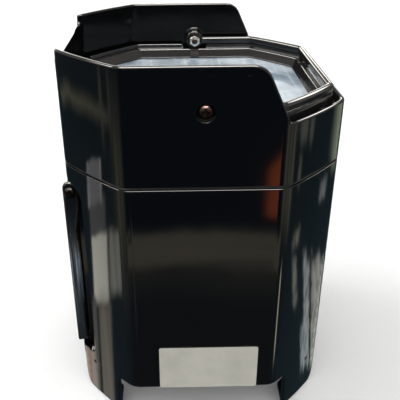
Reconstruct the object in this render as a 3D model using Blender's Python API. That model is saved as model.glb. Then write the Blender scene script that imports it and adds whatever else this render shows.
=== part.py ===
"""A battery LED uplight: a square floor lamp with cut corners that stands on four feet and shines upwards.

The front is -Y, the left is -X and +Z is up. The origin is at the middle of the base, on the ground.
Every dimension is in millimetres and is scaled to metres when a mesh is made. Heights are above the ground.
"""

import math

import bmesh
import bpy
from mathutils import Vector

MM = 0.001
CLEAR = 0.3  # the gap between pieces that touch

# The plan: a square whose four corners are cut by slightly bowed faces, with rounded ridges between.
HALF = 81.0
FACE_HALF = 44.5  # half the width of a flat side, up to its ridge
RIDGE_RADIUS = 5.0
CORNER_RADIUS = 260.0  # the bow of a cut corner
CORNER_BOW = 1.1

# The casing.
WALL_LOW = 3.0
WALL_UP = 2.6
FOOT_HEIGHT = 29.0
SEAM = 171.6
SEAM_GAP = 1.6
RIM_RIGHT = 209.2
RIM_LEFT = 233.7
SHROUD_TOP = 239.8
SHROUD_CORNER_X = 29.8  # where the shroud's level top would meet its sloping end
SHROUD_CORNER_RADIUS = 11.0
LEDGE_TOP = 199.3  # the shelf that carries the bezel and the window
LEDGE_INSET = 15.5
SINK_SHELF = 167.7  # the shelf under the heat sink's plate
PANEL_SHELF = 35.0
SHELF_INSET = 9.0
SHELF_THICK = 3.0
FOOT_PLATE = (1.5, 4.5)
FOOT_PLATE_INSET = 16.0
FRONT_ARCH_HALF = 55.0
FRONT_ARCH_RADIUS = 4.0
SIDE_ARCH_HALF = 44.4
SIDE_ARCH_RADIUS = 5.0
FOOT_ROUND = (7.0, 16.0)  # width and height of the curve at the outer end of a side foot
OUTSIDE = HALF + 9.0  # a distance safely past the walls, for cutters

# The carry handle, its pivots and the bezel under it.
HANDLE_PIVOT_Z = 215.5
HANDLE_OUTER = 6.6  # insets from the casing's outline
HANDLE_INNER = 11.0
HANDLE_LOW = 212.5
HANDLE_TOP = 217.3
EYE_RADIUS = 6.2
EYE_BEVEL = 0.5
EYE_OUTER = 75.8  # distances of the pivot's pieces from the middle, along Y
EYE_INNER = 70.0
BOSS_FACE = 77.2
BOSS_RADIUS = 7.0
RECESS_FLOOR = 78.6
RECESS_RADIUS = 5.2
SCREW_RADIUS = 2.0
SCREW_HOLE = 2.25
NUT_FLATS = 7.0
NUT_ALONG = (65.3, 68.5)
CLIP_ALONG = (68.8, 69.6)
CLIP_HALF_WIDTH = 2.9
WINDOW_TOP = 203.1
WINDOW_INSET = 11.3
WINDOW_THICK = 2.4
BEZEL_SCREW_AT = (67.0, 51.9)
BEZEL_TRENCH = 205.2
BEZEL_RIDGE = 212.0

# The kickstand, a bail in two upright grooves on the left.
BAIL_PIVOT = (-79.0, 153.0)  # X and Z
BAIL_OUTER_X = -83.7
BAIL_ARM_INNER = 42.2  # distances along Y
BAIL_ARM_OUTER = 46.0
BAIL_ARM_WIDTH = 7.0
BAIL_BAR = (38.5, 46.5)
GROOVE_X = -71.2
GROOVE_WALL = 40.8
GROOVE_LOW = 34.0
GROOVE_FOOT_RADIUS = 5.0
GROOVE_CURVE = (-82.5, 150.5, 11.3)  # centre X, centre Z and radius of the groove's top

# The base panel and what it carries.
PANEL_LOW = 31.6
PANEL_TOP = 34.6
BOARD_LOW = 39.0  # the control board, over the panel
BUTTON_X = (-27.0, -9.0, 9.0, 27.0)
BUTTON_Y = -50.0
BUTTON_RADIUS = 3.7
BUTTON_FACE = 30.2
DISPLAY_Y = -31.0
DISPLAY_SIZE = (42.0, 18.0)
INLET_AT = (-18.0, 38.0)
INLET_SIZE = (27.0, 20.0)
SWITCH_AT = (26.0, 38.0)
SWITCH_SIZE = (19.0, 13.0)
SWITCH_AXIS_Z = 34.0
SWITCH_TILT = 9.0
VENT_AT = (54.0, 26.0)
VENT_STEM = 3.9
PAD_AT = (59.3, 56.0)
PAD_RADIUS = 3.6
PANEL_MARGIN = 0.4  # room round the panel and round what it carries

# The light engine.
SINK_LOW = 130.0
SINK_PLATE = (168.0, 171.3)
BOARD_TOP = 173.2
BOARD_RADIUS = 57.0
LENS_PLATE = (190.5, 193.0)
LENS_COUNT = 6
LENS_RING = 36.0

SIDES = {"front": -1, "back": 1}
CORNERS = {"front_left": (-1, -1), "front_right": (1, -1), "back_left": (-1, 1), "back_right": (1, 1)}


def clear_scene():
    for obj in list(bpy.data.objects):
        bpy.data.objects.remove(obj, do_unlink=True)


def material(name, colour, roughness, metallic=0.0):
    """A Principled material, made once for each name."""
    made = bpy.data.materials.get(name)
    if made:
        return made
    made = bpy.data.materials.new(name)
    made.use_nodes = True
    shader = made.node_tree.nodes["Principled BSDF"]
    shader.inputs["Base Color"].default_value = (*colour, 1.0)
    shader.inputs["Roughness"].default_value = roughness
    shader.inputs["Metallic"].default_value = metallic
    made.diffuse_color = (*colour, 1.0)
    return made


def gloss_black():
    return material("gloss_black", (0.012, 0.013, 0.015), 0.08)


def steel():
    return material("zinc_steel", (0.62, 0.62, 0.6), 0.3, 1.0)


def black_steel():
    return material("black_steel", (0.03, 0.03, 0.03), 0.35, 1.0)


def rubber():
    return material("black_rubber", (0.02, 0.02, 0.02), 0.8)


def nylon():
    return material("black_nylon", (0.03, 0.03, 0.032), 0.5)


def circuit_board():
    return material("circuit_board", (0.02, 0.12, 0.05), 0.45)


# Outlines: lists of (x, y) points, anticlockwise.


def arc(centre, radius, start, end, steps):
    """Points on a circle from one angle to another, in degrees."""
    angles = [math.radians(start + (end - start) * i / steps) for i in range(steps + 1)]
    return [(centre[0] + radius * math.cos(a), centre[1] + radius * math.sin(a)) for a in angles]


def casing_outline(inset, ridge_steps=2, corner_steps=4):
    """The casing's plan, moved inwards by inset: rounded ridges and bowed corners that meet smoothly."""
    half = HALF - inset
    ridge = max(RIDGE_RADIUS - inset, 0.6)
    corner = CORNER_RADIUS - inset
    middle = (HALF + FACE_HALF) / math.sqrt(2) + CORNER_BOW - inset
    bow_centre = (middle - corner) / math.sqrt(2)
    turn = math.degrees(math.acos((half - ridge - bow_centre) / (corner - ridge)))
    ridge_y = bow_centre + (corner - ridge) * math.sin(math.radians(turn))
    first = arc((half - ridge, ridge_y), ridge, 0, turn, ridge_steps)
    bow = arc((bow_centre, bow_centre), corner, turn, 90 - turn, corner_steps)[1:-1]
    last = arc((ridge_y, half - ridge), ridge, 90 - turn, 90, ridge_steps)
    quarter = first + bow + last
    points = []
    for k in range(4):
        c, s = (1, 0, -1, 0)[k], (0, 1, 0, -1)[k]
        points += [(c * x - s * y, s * x + c * y) for x, y in quarter]
    return points


def rectangle(centre, size, radius=0.0, steps=3):
    """A rectangle's outline, with round corners when it has a radius."""
    x, y = size[0] / 2 - radius, size[1] / 2 - radius
    corners = [(x, y, 0), (-x, y, 90), (-x, -y, 180), (x, -y, 270)]
    points = []
    for cx, cy, start in corners:
        at = (centre[0] + cx, centre[1] + cy)
        points += arc(at, radius, start, start + 90, steps) if radius else [at]
    return points


# Meshes.


def finish(name, mesh, surface, location=(0, 0, 0), parent=None, smooth=35):
    """Makes an object from a bmesh in millimetres. location is its origin: its joint's axis if it moves."""
    bmesh.ops.translate(mesh, verts=mesh.verts, vec=-Vector(location))
    bmesh.ops.scale(mesh, verts=mesh.verts, vec=(MM, MM, MM))
    bmesh.ops.recalc_face_normals(mesh, faces=mesh.faces)
    data = bpy.data.meshes.new(name)
    mesh.to_mesh(data)
    mesh.free()
    data.materials.append(surface)
    data.shade_smooth()
    data.set_sharp_from_angle(angle=math.radians(smooth))
    obj = bpy.data.objects.new(name, data)
    bpy.context.scene.collection.objects.link(obj)
    obj.location = Vector(location) * MM
    if parent:
        obj.parent = parent
        obj.location = (Vector(location) * MM) - parent.location
    return obj


def pivot(name, location):
    """An empty on a joint's axis."""
    empty = bpy.data.objects.new(name, None)
    empty.empty_display_size = 0.02
    bpy.context.scene.collection.objects.link(empty)
    empty.location = Vector(location) * MM
    return empty


def loops_to_solid(loops, closed):
    """Bridges rings of points. closed joins the last ring to the first; otherwise both ends are capped."""
    mesh = bmesh.new()
    rings = [[mesh.verts.new(p) for p in loop] for loop in loops]
    count = len(rings[0])
    pairs = list(zip(rings, rings[1:])) + ([(rings[-1], rings[0])] if closed else [])
    for low, high in pairs:
        for i in range(count):
            j = (i + 1) % count
            mesh.faces.new((low[i], low[j], high[j], high[i]))
    if not closed:
        mesh.faces.new(list(reversed(rings[0])))
        mesh.faces.new(rings[-1])
    return mesh


def ring_sweep(profile):
    """A closed cross-section of (inset, z) points, carried round the casing's outline."""
    loops = [[(x, y, z) for x, y in casing_outline(inset)] for inset, z in profile]
    return loops_to_solid(loops, closed=True)


def extrusion(points, low, high, along="z"):
    """An outline pushed along an axis. For y its points are (x, z), and for x they are (y, z)."""
    place = {
        "z": lambda a, b, d: (a, b, d),
        "y": lambda a, b, d: (a, d, b),
        "x": lambda a, b, d: (d, a, b),
    }[along]
    loops = [[place(a, b, d) for a, b in points] for d in (low, high)]
    return loops_to_solid(loops, closed=False)


def turned(profile, centre=(0, 0), along="z", steps=24, side=1):
    """A turned solid. profile holds (radius, distance) points from one end to the other, radius above zero.

    centre is (x, y), or (x, z) for a piece along y; side flips the distances.
    """
    loops = []
    for radius, distance in profile:
        ring = arc(centre, radius, 0, 360 - 360 / steps, steps - 1)
        if along == "z":
            loops.append([(a, b, distance * side) for a, b in ring])
        else:
            loops.append([(a, distance * side, b) for a, b in ring])
    return loops_to_solid(loops, closed=False)


def hexagon(centre, across_flats):
    radius = across_flats / math.sqrt(3)
    return arc(centre, radius, 30, 330, 5)


def helper(name, mesh):
    """A cutter or a filler: it is shown as wires and left out of renders."""
    obj = finish(name, mesh, nylon())
    obj.hide_render = True
    obj.display_type = "WIRE"
    return obj


def boolean(obj, other, operation="DIFFERENCE"):
    modifier = obj.modifiers.new(other.name, "BOOLEAN")
    modifier.operation = operation
    modifier.solver = "EXACT"
    modifier.object = other
    return obj


def cut(obj, name, mesh):
    return boolean(obj, helper(f"cut_{name}", mesh))


def join(obj, name, mesh):
    return boolean(obj, helper(f"add_{name}", mesh), "UNION")


# The casing.


def shroud_profile():
    """The cut at the casing's right, as (x, z): a level top, a round corner, a slope and the low rim."""
    end_x, end_z = FACE_HALF - 0.8, RIM_RIGHT
    slope = math.atan2(SHROUD_TOP - end_z, end_x - SHROUD_CORNER_X)
    reach = SHROUD_CORNER_RADIUS * math.tan(slope / 2)
    centre = (SHROUD_CORNER_X - reach, SHROUD_TOP - SHROUD_CORNER_RADIUS)
    corner = arc(centre, SHROUD_CORNER_RADIUS, 90, 90 - math.degrees(slope), 6)
    above = SHROUD_TOP + 10
    return [(corner[0][0], above), *corner, (end_x, end_z), (OUTSIDE, end_z), (OUTSIDE, above)]


def side_arch():
    """The opening under the side walls, as (y, z). The feet's outer ends are rounded up into it."""
    width, height = FOOT_ROUND
    turns = [math.radians(a) for a in range(0, 91, 15)]
    foot_round = [(SIDE_ARCH_HALF + width * (1 - math.cos(t)), height * (1 - math.sin(t))) for t in turns]
    radius = SIDE_ARCH_RADIUS
    roof = arc((SIDE_ARCH_HALF - radius, FOOT_HEIGHT - radius), radius, 90, 0, 4)
    half = roof + foot_round + [(SIDE_ARCH_HALF + width, -radius)]
    return half + [(-y, z) for y, z in reversed(half)]


def front_arch():
    radius = FRONT_ARCH_RADIUS
    roof = arc((FRONT_ARCH_HALF - radius, FOOT_HEIGHT - radius), radius, 90, 0, 4)
    half = roof + [(FRONT_ARCH_HALF, -radius)]
    return half + [(-x, z) for x, z in reversed(half)]


def groove_profile(extra=0.0):
    """The kickstand's groove as (x, z): a round top corner, a straight side and a rounded foot."""
    cx, cz, radius = GROOVE_CURVE
    top = arc((cx, cz), radius + extra, 90, 0, 7)
    foot = GROOVE_FOOT_RADIUS
    low = arc((GROOVE_X - foot, GROOVE_LOW + foot), foot + extra, 0, -90, 4)
    return [(-OUTSIDE, top[0][1]), *top, *low, (-OUTSIDE, GROOVE_LOW - extra)]


def add_groove(shell, name, side):
    """Lines one corner of the shell, then cuts the kickstand's groove into the lining."""
    wall = 2.5
    lining = extrusion(groove_profile(wall), side * (GROOVE_WALL - wall), side * (HALF + 4), "y")
    block = helper(f"add_lining_{name}", lining)
    envelope = extrusion(casing_outline(1.0), GROOVE_LOW - 10, SEAM - 3)
    boolean(block, helper(f"envelope_{name}", envelope), "INTERSECT")
    boolean(shell, block, "UNION")
    cut(shell, f"groove_{name}", extrusion(groove_profile(), side * GROOVE_WALL, side * (HALF + 10), "y"))
    hole = turned([(2.2, GROOVE_WALL - 6), (2.2, GROOVE_WALL + 6)], BAIL_PIVOT, "y", 16, side)
    cut(shell, f"groove_hole_{name}", hole)


def lower_shell():
    """The tall lower casing: its shelves, the soles of its feet, the grooves and the arches."""
    base = 0.6
    shelf_top = PANEL_SHELF + SHELF_THICK
    profile = [
        (0, base), (0, SEAM), (WALL_LOW, SEAM), (WALL_LOW, SINK_SHELF), (SHELF_INSET, SINK_SHELF),
        (SHELF_INSET, SINK_SHELF - 2.1), (WALL_LOW, SINK_SHELF - 5.2), (WALL_LOW, shelf_top),
        (SHELF_INSET, shelf_top), (SHELF_INSET, PANEL_SHELF), (WALL_LOW, PANEL_SHELF),
        (WALL_LOW, FOOT_PLATE[1]), (FOOT_PLATE_INSET, FOOT_PLATE[1]), (FOOT_PLATE_INSET, FOOT_PLATE[0]),
        (WALL_LOW, FOOT_PLATE[0]), (WALL_LOW, base),
    ]
    shell = finish("lower_shell", ring_sweep(profile), gloss_black())
    for name, side in SIDES.items():
        add_groove(shell, name, side)
    cut(shell, "front_arch", extrusion(front_arch(), -OUTSIDE, OUTSIDE, "y"))
    cut(shell, "side_arch", extrusion(side_arch(), -OUTSIDE, OUTSIDE, "x"))
    for i, (x, y) in enumerate(panel_screw_places()):
        cut(shell, f"panel_screw_{i}", turned([(1.6, 33), (1.6, 40)], (x, y), steps=12))
    return shell


def upper_shell():
    """The head of the casing: shroud walls on three sides, a low rim on the right and the ledge inside."""
    bottom = SEAM + SEAM_GAP
    profile = [
        (0, bottom), (0, SHROUD_TOP), (WALL_UP, SHROUD_TOP), (WALL_UP, LEDGE_TOP), (LEDGE_INSET, LEDGE_TOP),
        (LEDGE_INSET, LEDGE_TOP - 3), (WALL_UP, LEDGE_TOP - 8), (WALL_UP, bottom),
    ]
    shell = finish("upper_shell", ring_sweep(profile), gloss_black())
    cut(shell, "rim_right", extrusion(shroud_profile(), -OUTSIDE, OUTSIDE, "y"))
    notch = rectangle((0, RIM_LEFT + 10), (87, 20), 2.5)
    cut(shell, "rim_left", extrusion(notch, -OUTSIDE, -HALF + 12, "x"))
    centre = (0, HANDLE_PIVOT_Z)
    for name, side in SIDES.items():
        edge = [(BOSS_RADIUS, HALF - WALL_UP + 0.6), (BOSS_RADIUS, BOSS_FACE)]
        join(shell, f"boss_{name}", turned(edge, centre, "y", 20, side))
        recess = turned([(RECESS_RADIUS, RECESS_FLOOR), (RECESS_RADIUS, OUTSIDE)], centre, "y", 20, side)
        cut(shell, f"recess_{name}", recess)
        hole = turned([(SCREW_HOLE, BOSS_FACE - 5), (SCREW_HOLE, HALF)], centre, "y", 12, side)
        cut(shell, f"hole_{name}", hole)
    return shell


def seam_gasket():
    low, high = SEAM + CLEAR, SEAM + SEAM_GAP - CLEAR
    outer, inner = 1.0, 2.5
    section = [(outer, low), (outer, high), (inner, high), (inner, low)]
    return finish("seam_gasket", ring_sweep(section), rubber())


# The light's window and its bezel.


def bezel_frame():
    """The frame round the window: a trench for its screws, two ridges and a slope to the glass."""
    low = LEDGE_TOP + 0.4
    lip = WINDOW_TOP + CLEAR
    outer, inner, edge = WALL_UP + 0.5, WINDOW_INSET - 0.4, 14.8
    shoulder = BEZEL_RIDGE - 0.8
    profile = [
        (outer, low), (outer, BEZEL_TRENCH), (6.0, BEZEL_TRENCH), (6.8, shoulder), (7.7, BEZEL_RIDGE),
        (8.6, shoulder), (10.4, 208.9), (11.6, 209.6), (edge, lip + 0.2), (edge, lip), (inner, lip),
        (inner, low),
    ]
    frame = finish("bezel_frame", ring_sweep(profile), gloss_black())
    for name, side in SIDES.items():
        notch = extrusion(rectangle((0, 213.3), (16, 10), 1.5), side * 69.6, side * (HALF - 2), "y")
        cut(frame, f"notch_{name}", notch)
    for name, (sx, sy) in CORNERS.items():
        at = (sx * BEZEL_SCREW_AT[0], sy * BEZEL_SCREW_AT[1])
        cut(frame, f"bezel_seat_{name}", turned([(2.5, BEZEL_TRENCH - 0.4), (2.5, 214)], at, steps=14))
        cut(frame, f"bezel_hole_{name}", turned([(1.35, LEDGE_TOP - 2), (1.35, 214)], at, steps=12))
    return frame


def bezel_screws():
    """Small screws in the trench outside the bezel's ridge, ending just above the shelf."""
    seat = BEZEL_TRENCH + 0.1
    for name, (sx, sy) in CORNERS.items():
        at = (sx * BEZEL_SCREW_AT[0], sy * BEZEL_SCREW_AT[1])
        shape = [(1.05, LEDGE_TOP + 0.9), (1.05, seat), (2.1, seat), (2.1, seat + 1.2), (1.4, seat + 1.7)]
        screw = finish(f"bezel_screw_{name}", turned(shape, at, steps=12), black_steel())
        cut(screw, f"bezel_drive_{name}", extrusion(rectangle(at, (0.6, 2.4)), seat + 0.9, seat + 3))


def window():
    """The flat glass, on a thin gasket on the ledge."""
    glass_low = WINDOW_TOP - WINDOW_THICK
    glass = extrusion(casing_outline(WINDOW_INSET), glass_low, WINDOW_TOP)
    finish("window_glass", glass, material("window_glass", (0.55, 0.63, 0.7), 0.12))
    low, high, inner = LEDGE_TOP + CLEAR, glass_low - CLEAR, LEDGE_INSET - 0.7
    gasket = ring_sweep([(WINDOW_INSET, low), (WINDOW_INSET, high), (inner, high), (inner, low)])
    finish("window_gasket", gasket, rubber())


def window_clips():
    """A spring-steel tab under each handle nut, bent down the bezel's slope to the window's edge."""
    near, far = CLIP_ALONG
    eye = 5.3
    top = HANDLE_PIVOT_Z - 1.5
    tail = [
        (far, top), (far, 210.2), (69.15, 209.95), (65.9, 203.8), (65.2, 204.15), (68.3, 210.2),
        (near, 211.2), (near, top),
    ]
    centre = (0, HANDLE_PIVOT_Z)
    for name, side in SIDES.items():
        body = extrusion([(side * y, z) for y, z in tail], -CLIP_HALF_WIDTH, CLIP_HALF_WIDTH, "x")
        clip = finish(f"window_clip_{name}", body, black_steel())
        join(clip, f"clip_eye_{name}", turned([(eye, near), (eye, far)], centre, "y", 20, side))
        hole = turned([(SCREW_HOLE, near - 3), (SCREW_HOLE, far + 3)], centre, "y", 12, side)
        cut(clip, f"clip_hole_{name}", hole)


# The carry handle.


def carry_handle():
    """Half of the casing's outline as a flat bar, with an eye at each end on the pivot."""
    round_low, round_in = HANDLE_TOP - 1.7, 0.9
    profile = [
        (HANDLE_OUTER, HANDLE_LOW), (HANDLE_OUTER, round_low), (HANDLE_OUTER + round_in, HANDLE_TOP),
        (HANDLE_INNER - round_in, HANDLE_TOP), (HANDLE_INNER, round_low), (HANDLE_INNER, HANDLE_LOW),
    ]
    origin = (0, 0, HANDLE_PIVOT_Z)
    bar = finish("carry_handle", ring_sweep(profile), gloss_black(), origin, pivot("handle_pivot", origin))
    cut(bar, "handle_left", extrusion(rectangle((-50, 0), (100, 200)), HANDLE_LOW - 10, HANDLE_TOP + 10))
    centre = (0, HANDLE_PIVOT_Z)
    rim = EYE_RADIUS - EYE_BEVEL
    for name, side in SIDES.items():
        edge = [
            (rim, EYE_INNER), (EYE_RADIUS, EYE_INNER + EYE_BEVEL), (EYE_RADIUS, EYE_OUTER - EYE_BEVEL),
            (rim, EYE_OUTER),
        ]
        join(bar, f"handle_eye_{name}", turned(edge, centre, "y", 24, side))
    for name, side in SIDES.items():
        hole = turned([(SCREW_HOLE, EYE_INNER - 3), (SCREW_HOLE, EYE_OUTER + 3)], centre, "y", 12, side)
        cut(bar, f"handle_hole_{name}", hole)


def handle_pivots():
    """The screw, washer and nut at each end. The casing holds them, and the handle turns on the screws."""
    centre = (0, HANDLE_PIVOT_Z)
    head = RECESS_FLOOR + CLEAR
    tip = NUT_ALONG[0] - 0.7
    shape = [
        (SCREW_RADIUS - 0.6, tip), (SCREW_RADIUS, tip + 0.6), (SCREW_RADIUS, head), (4.0, head),
        (4.0, head + 1.2), (3.2, head + 1.9), (2.0, head + 2.1),
    ]
    washer_radius = 5.0
    for name, side in SIDES.items():
        screw = finish(f"handle_screw_{name}", turned(shape, centre, "y", 16, side), black_steel())
        for turn, size in enumerate(((0.9, 4.2), (4.2, 0.9))):
            slot = extrusion(rectangle(centre, size), side * (head + 1.0), side * (head + 4), "y")
            cut(screw, f"handle_drive_{name}_{turn}", slot)
        edge = [(washer_radius, EYE_OUTER + CLEAR), (washer_radius, BOSS_FACE - CLEAR)]
        washer = finish(f"handle_washer_{name}", turned(edge, centre, "y", 16, side), nylon())
        bore = [(SCREW_HOLE, NUT_ALONG[0] - 5), (SCREW_HOLE, BOSS_FACE + 3)]
        cut(washer, f"handle_washer_hole_{name}", turned(bore, centre, "y", 12, side))
        near, far = (side * y for y in NUT_ALONG)
        nut = finish(f"handle_nut_{name}", extrusion(hexagon(centre, NUT_FLATS), near, far, "y"), steel())
        cut(nut, f"handle_nut_hole_{name}", turned(bore, centre, "y", 12, side))


# The kickstand.


def kickstand():
    """A flat bail: two arms in the grooves and a bar across the left wall between their feet."""
    px, pz = BAIL_PIVOT
    end_radius = px - BAIL_OUTER_X
    arm_x = BAIL_OUTER_X + BAIL_ARM_WIDTH
    arm_low, foot_radius = BAIL_BAR[0] - 0.5, 2.5
    top = arc((px, pz + 2), end_radius, 0, 180, 8)
    foot = arc((arm_x - foot_radius, arm_low + foot_radius), foot_radius, 270, 360, 3)
    arm = [*top, (BAIL_OUTER_X, arm_low), *foot, (arm_x, pz - 25), (px + end_radius, pz - 10)]
    bar_outer, bar_inner, bar_end = BAIL_OUTER_X + 0.2, -HALF - 0.5, (BAIL_ARM_INNER + BAIL_ARM_OUTER) / 2
    bar_size = (bar_inner - bar_outer, BAIL_BAR[1] - BAIL_BAR[0])
    middle = ((bar_outer + bar_inner) / 2, sum(BAIL_BAR) / 2)
    bar = extrusion(rectangle(middle, bar_size), -bar_end, bar_end, "y")
    axis = pivot("kickstand_pivot", (px, 0, pz))
    bail = finish("kickstand_bail", bar, gloss_black(), (px, 0, pz), axis)
    for name, side in SIDES.items():
        join(bail, f"bail_arm_{name}", extrusion(arm, side * BAIL_ARM_INNER, side * BAIL_ARM_OUTER, "y"))
    shank, hole_radius, washer_radius = 1.9, 2.2, 4.2
    head = BAIL_ARM_OUTER + CLEAR
    shape = [(shank, 37), (shank, head), (3.6, head), (3.6, head + 0.7), (2.4, head + 1.3)]
    hole = [(hole_radius, GROOVE_WALL - 3), (hole_radius, BAIL_ARM_OUTER + 4)]
    for name, side in SIDES.items():
        cut(bail, f"bail_hole_{name}", turned(hole, BAIL_PIVOT, "y", 12, side))
        screw = finish(f"kickstand_screw_{name}", turned(shape, BAIL_PIVOT, "y", 14, side), black_steel())
        slot = extrusion(rectangle(BAIL_PIVOT, (4, 0.8)), side * (head + 0.6), side * (head + 3), "y")
        cut(screw, f"bail_drive_{name}", slot)
        edge = [(washer_radius, GROOVE_WALL + CLEAR), (washer_radius, BAIL_ARM_INNER - CLEAR)]
        washer = finish(f"kickstand_washer_{name}", turned(edge, BAIL_PIVOT, "y", 14, side), nylon())
        cut(washer, f"bail_washer_hole_{name}", turned(hole, BAIL_PIVOT, "y", 12, side))


# The base.


def panel_screw_places():
    middle = HALF - 6
    return [(middle, 0), (-middle, 0), (0, middle), (0, -middle)]


def bottom_panel():
    """The panel over the feet, with corners cut away for the grooves and an opening for each control."""
    outline = casing_outline(WALL_LOW + PANEL_MARGIN)
    panel = finish("bottom_panel", extrusion(outline, PANEL_LOW, PANEL_TOP), nylon())
    below, above = PANEL_LOW - 5, PANEL_TOP + 5
    for name, side in SIDES.items():
        corner = rectangle((-79, side * 50), (21.4, 24.4))
        cut(panel, f"panel_corner_{name}", extrusion(corner, below, above))
    for i, at in enumerate(panel_screw_places()):
        cut(panel, f"panel_hole_{i}", turned([(1.7, below), (1.7, above)], at, steps=12))
    button_room = BUTTON_RADIUS + CLEAR
    for i, x in enumerate(BUTTON_X):
        hole = turned([(button_room, below), (button_room, above)], (x, BUTTON_Y), steps=14)
        cut(panel, f"button_hole_{i}", hole)
    openings = {
        "display": ((0, DISPLAY_Y), DISPLAY_SIZE),
        "inlet": (INLET_AT, INLET_SIZE),
        "switch": (SWITCH_AT, SWITCH_SIZE),
    }
    for name, (at, size) in openings.items():
        room = [length + 2 * PANEL_MARGIN for length in size]
        cut(panel, f"panel_{name}", extrusion(rectangle(at, room, 1.4), below, above))
    vent_room = VENT_STEM + PANEL_MARGIN
    cut(panel, "panel_vent", turned([(vent_room, below), (vent_room, above)], VENT_AT, steps=14))


def panel_screws():
    head = PANEL_LOW - CLEAR
    shape = [(1.8, head - 1.7), (2.7, head - 1.2), (2.7, head), (1.3, head), (1.3, head + 6.3)]
    for i, at in enumerate(panel_screw_places()):
        screw = finish(f"panel_screw_{i + 1}", turned(shape, at, steps=12), black_steel())
        cut(screw, f"panel_drive_{i}", extrusion(rectangle(at, (0.8, 3.2)), head - 3, head - 1.0))


def foot_pads():
    for name, (sx, sy) in CORNERS.items():
        shape = [(PAD_RADIUS - 0.3, 0), (PAD_RADIUS, 0.4), (PAD_RADIUS, FOOT_PLATE[0] - CLEAR)]
        pad = turned(shape, (sx * PAD_AT[0], sy * PAD_AT[1]), steps=14)
        finish(f"foot_pad_{name}", pad, rubber())


def display():
    """A clear window flush with the panel, and the display module behind it."""
    glass = extrusion(rectangle((0, DISPLAY_Y), DISPLAY_SIZE, 1), PANEL_LOW + 0.3, PANEL_LOW + 2.3)
    finish("display_window", glass, material("display_window", (0.02, 0.03, 0.05), 0.1))
    module = extrusion(rectangle((0, DISPLAY_Y), (36, 14)), PANEL_TOP - 0.2, BOARD_LOW - CLEAR)
    finish("display_module", module, material("display_module", (0.05, 0.05, 0.06), 0.3))


def menu_buttons():
    """Push buttons whose flanges sit on the panel's inner side; each slides up into the panel."""
    face, radius, flange, flange_radius = BUTTON_FACE, BUTTON_RADIUS, PANEL_TOP + CLEAR, 5.0
    shape = [
        (radius - 0.5, face), (radius, face + 0.5), (radius, flange), (flange_radius, flange),
        (flange_radius, flange + 1.1),
    ]
    for i, x in enumerate(BUTTON_X):
        button = turned(shape, (x, BUTTON_Y), steps=14)
        finish(f"menu_button_{i + 1}", button, rubber(), (x, BUTTON_Y, face))


def power_inlet():
    """A mains inlet that faces down: a flange, a body, an open socket and three blades."""
    x, y = INLET_AT
    face, depth, floor = PANEL_LOW - 2.2, 18.6, 4.0
    socket_top = face + depth
    flange = extrusion(rectangle(INLET_AT, (34, 27), 3), face, PANEL_LOW - CLEAR)
    inlet = finish("power_inlet", flange, nylon())
    body = extrusion(rectangle(INLET_AT, INLET_SIZE, 1), face + 0.6, socket_top + floor)
    join(inlet, "inlet_body", body)
    cut(inlet, "inlet_socket", extrusion(rectangle(INLET_AT, (23, 16), 2), face - 5, socket_top))
    for i, (dx, dy) in enumerate(((-7, -1.5), (0, 2.5), (7, -1.5))):
        blade = extrusion(rectangle((x + dx, y + dy), (1.6, 4)), socket_top - 9, socket_top + 1)
        join(inlet, f"inlet_blade_{i}", blade)


def power_switch():
    """A rocker switch: a housing clipped into the panel and a rocker that tilts about a pin along Y."""
    x, y = SWITCH_AT
    face, well_top = PANEL_LOW - 1.6, 43.0
    flange = extrusion(rectangle(SWITCH_AT, (22, 16), 1.5), face, PANEL_LOW - CLEAR)
    housing = finish("switch_housing", flange, nylon())
    join(housing, "switch_body", extrusion(rectangle(SWITCH_AT, SWITCH_SIZE, 1), face + 1, well_top + 3))
    cut(housing, "switch_well", extrusion(rectangle(SWITCH_AT, (16.4, 10.4)), face - 5, well_top))
    c, s = math.cos(math.radians(SWITCH_TILT)), math.sin(math.radians(SWITCH_TILT))
    half, half_width = 7.4, 4.8
    section = [(-half, 2.5), (-half, -2.6), (0, -3.4), (half, -2.6), (half, 2.5), (0, 4.5)]
    tilted = [(x + u * c + v * s, SWITCH_AXIS_Z - u * s + v * c) for u, v in section]
    origin = (x, y, SWITCH_AXIS_Z)
    rocker = extrusion(tilted, y - half_width, y + half_width, "y")
    finish("switch_rocker", rocker, rubber(), origin, pivot("rocker_pivot", origin))


def vent_plug():
    cap = PANEL_LOW - CLEAR
    shape = [(4.5, cap - 1.6), (5.6, cap - 1.0), (5.6, cap), (VENT_STEM, cap), (VENT_STEM, PANEL_TOP + 2.4)]
    finish("vent_plug", turned(shape, VENT_AT, steps=14), nylon())


# What it holds inside.


def battery():
    """A shrink-wrapped pack of cells and the steel strap that holds it down on the base panel."""
    low, high, half_x, half_y, strap_half = 55.0, 112.0, 52.0, 26.0, 8.0
    outline = rectangle((0, 0), (2 * half_x, 2 * half_y), 11, 4)
    finish("battery_pack", extrusion(outline, low, high), material("battery_wrap", (0.03, 0.1, 0.35), 0.4))
    inner, thick, foot = half_x + 0.6, 1.6, 8.0
    top, seat = high + 0.5, PANEL_TOP + CLEAR
    half = [(inner, top), (inner, seat), (inner + thick + foot, seat), (inner + thick + foot, seat + thick)]
    half += [(inner + thick, seat + thick), (inner + thick, top + thick)]
    strap = half + [(-x, z) for x, z in reversed(half)]
    finish("battery_bracket", extrusion(strap, -strap_half, strap_half, "y"), steel())


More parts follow.
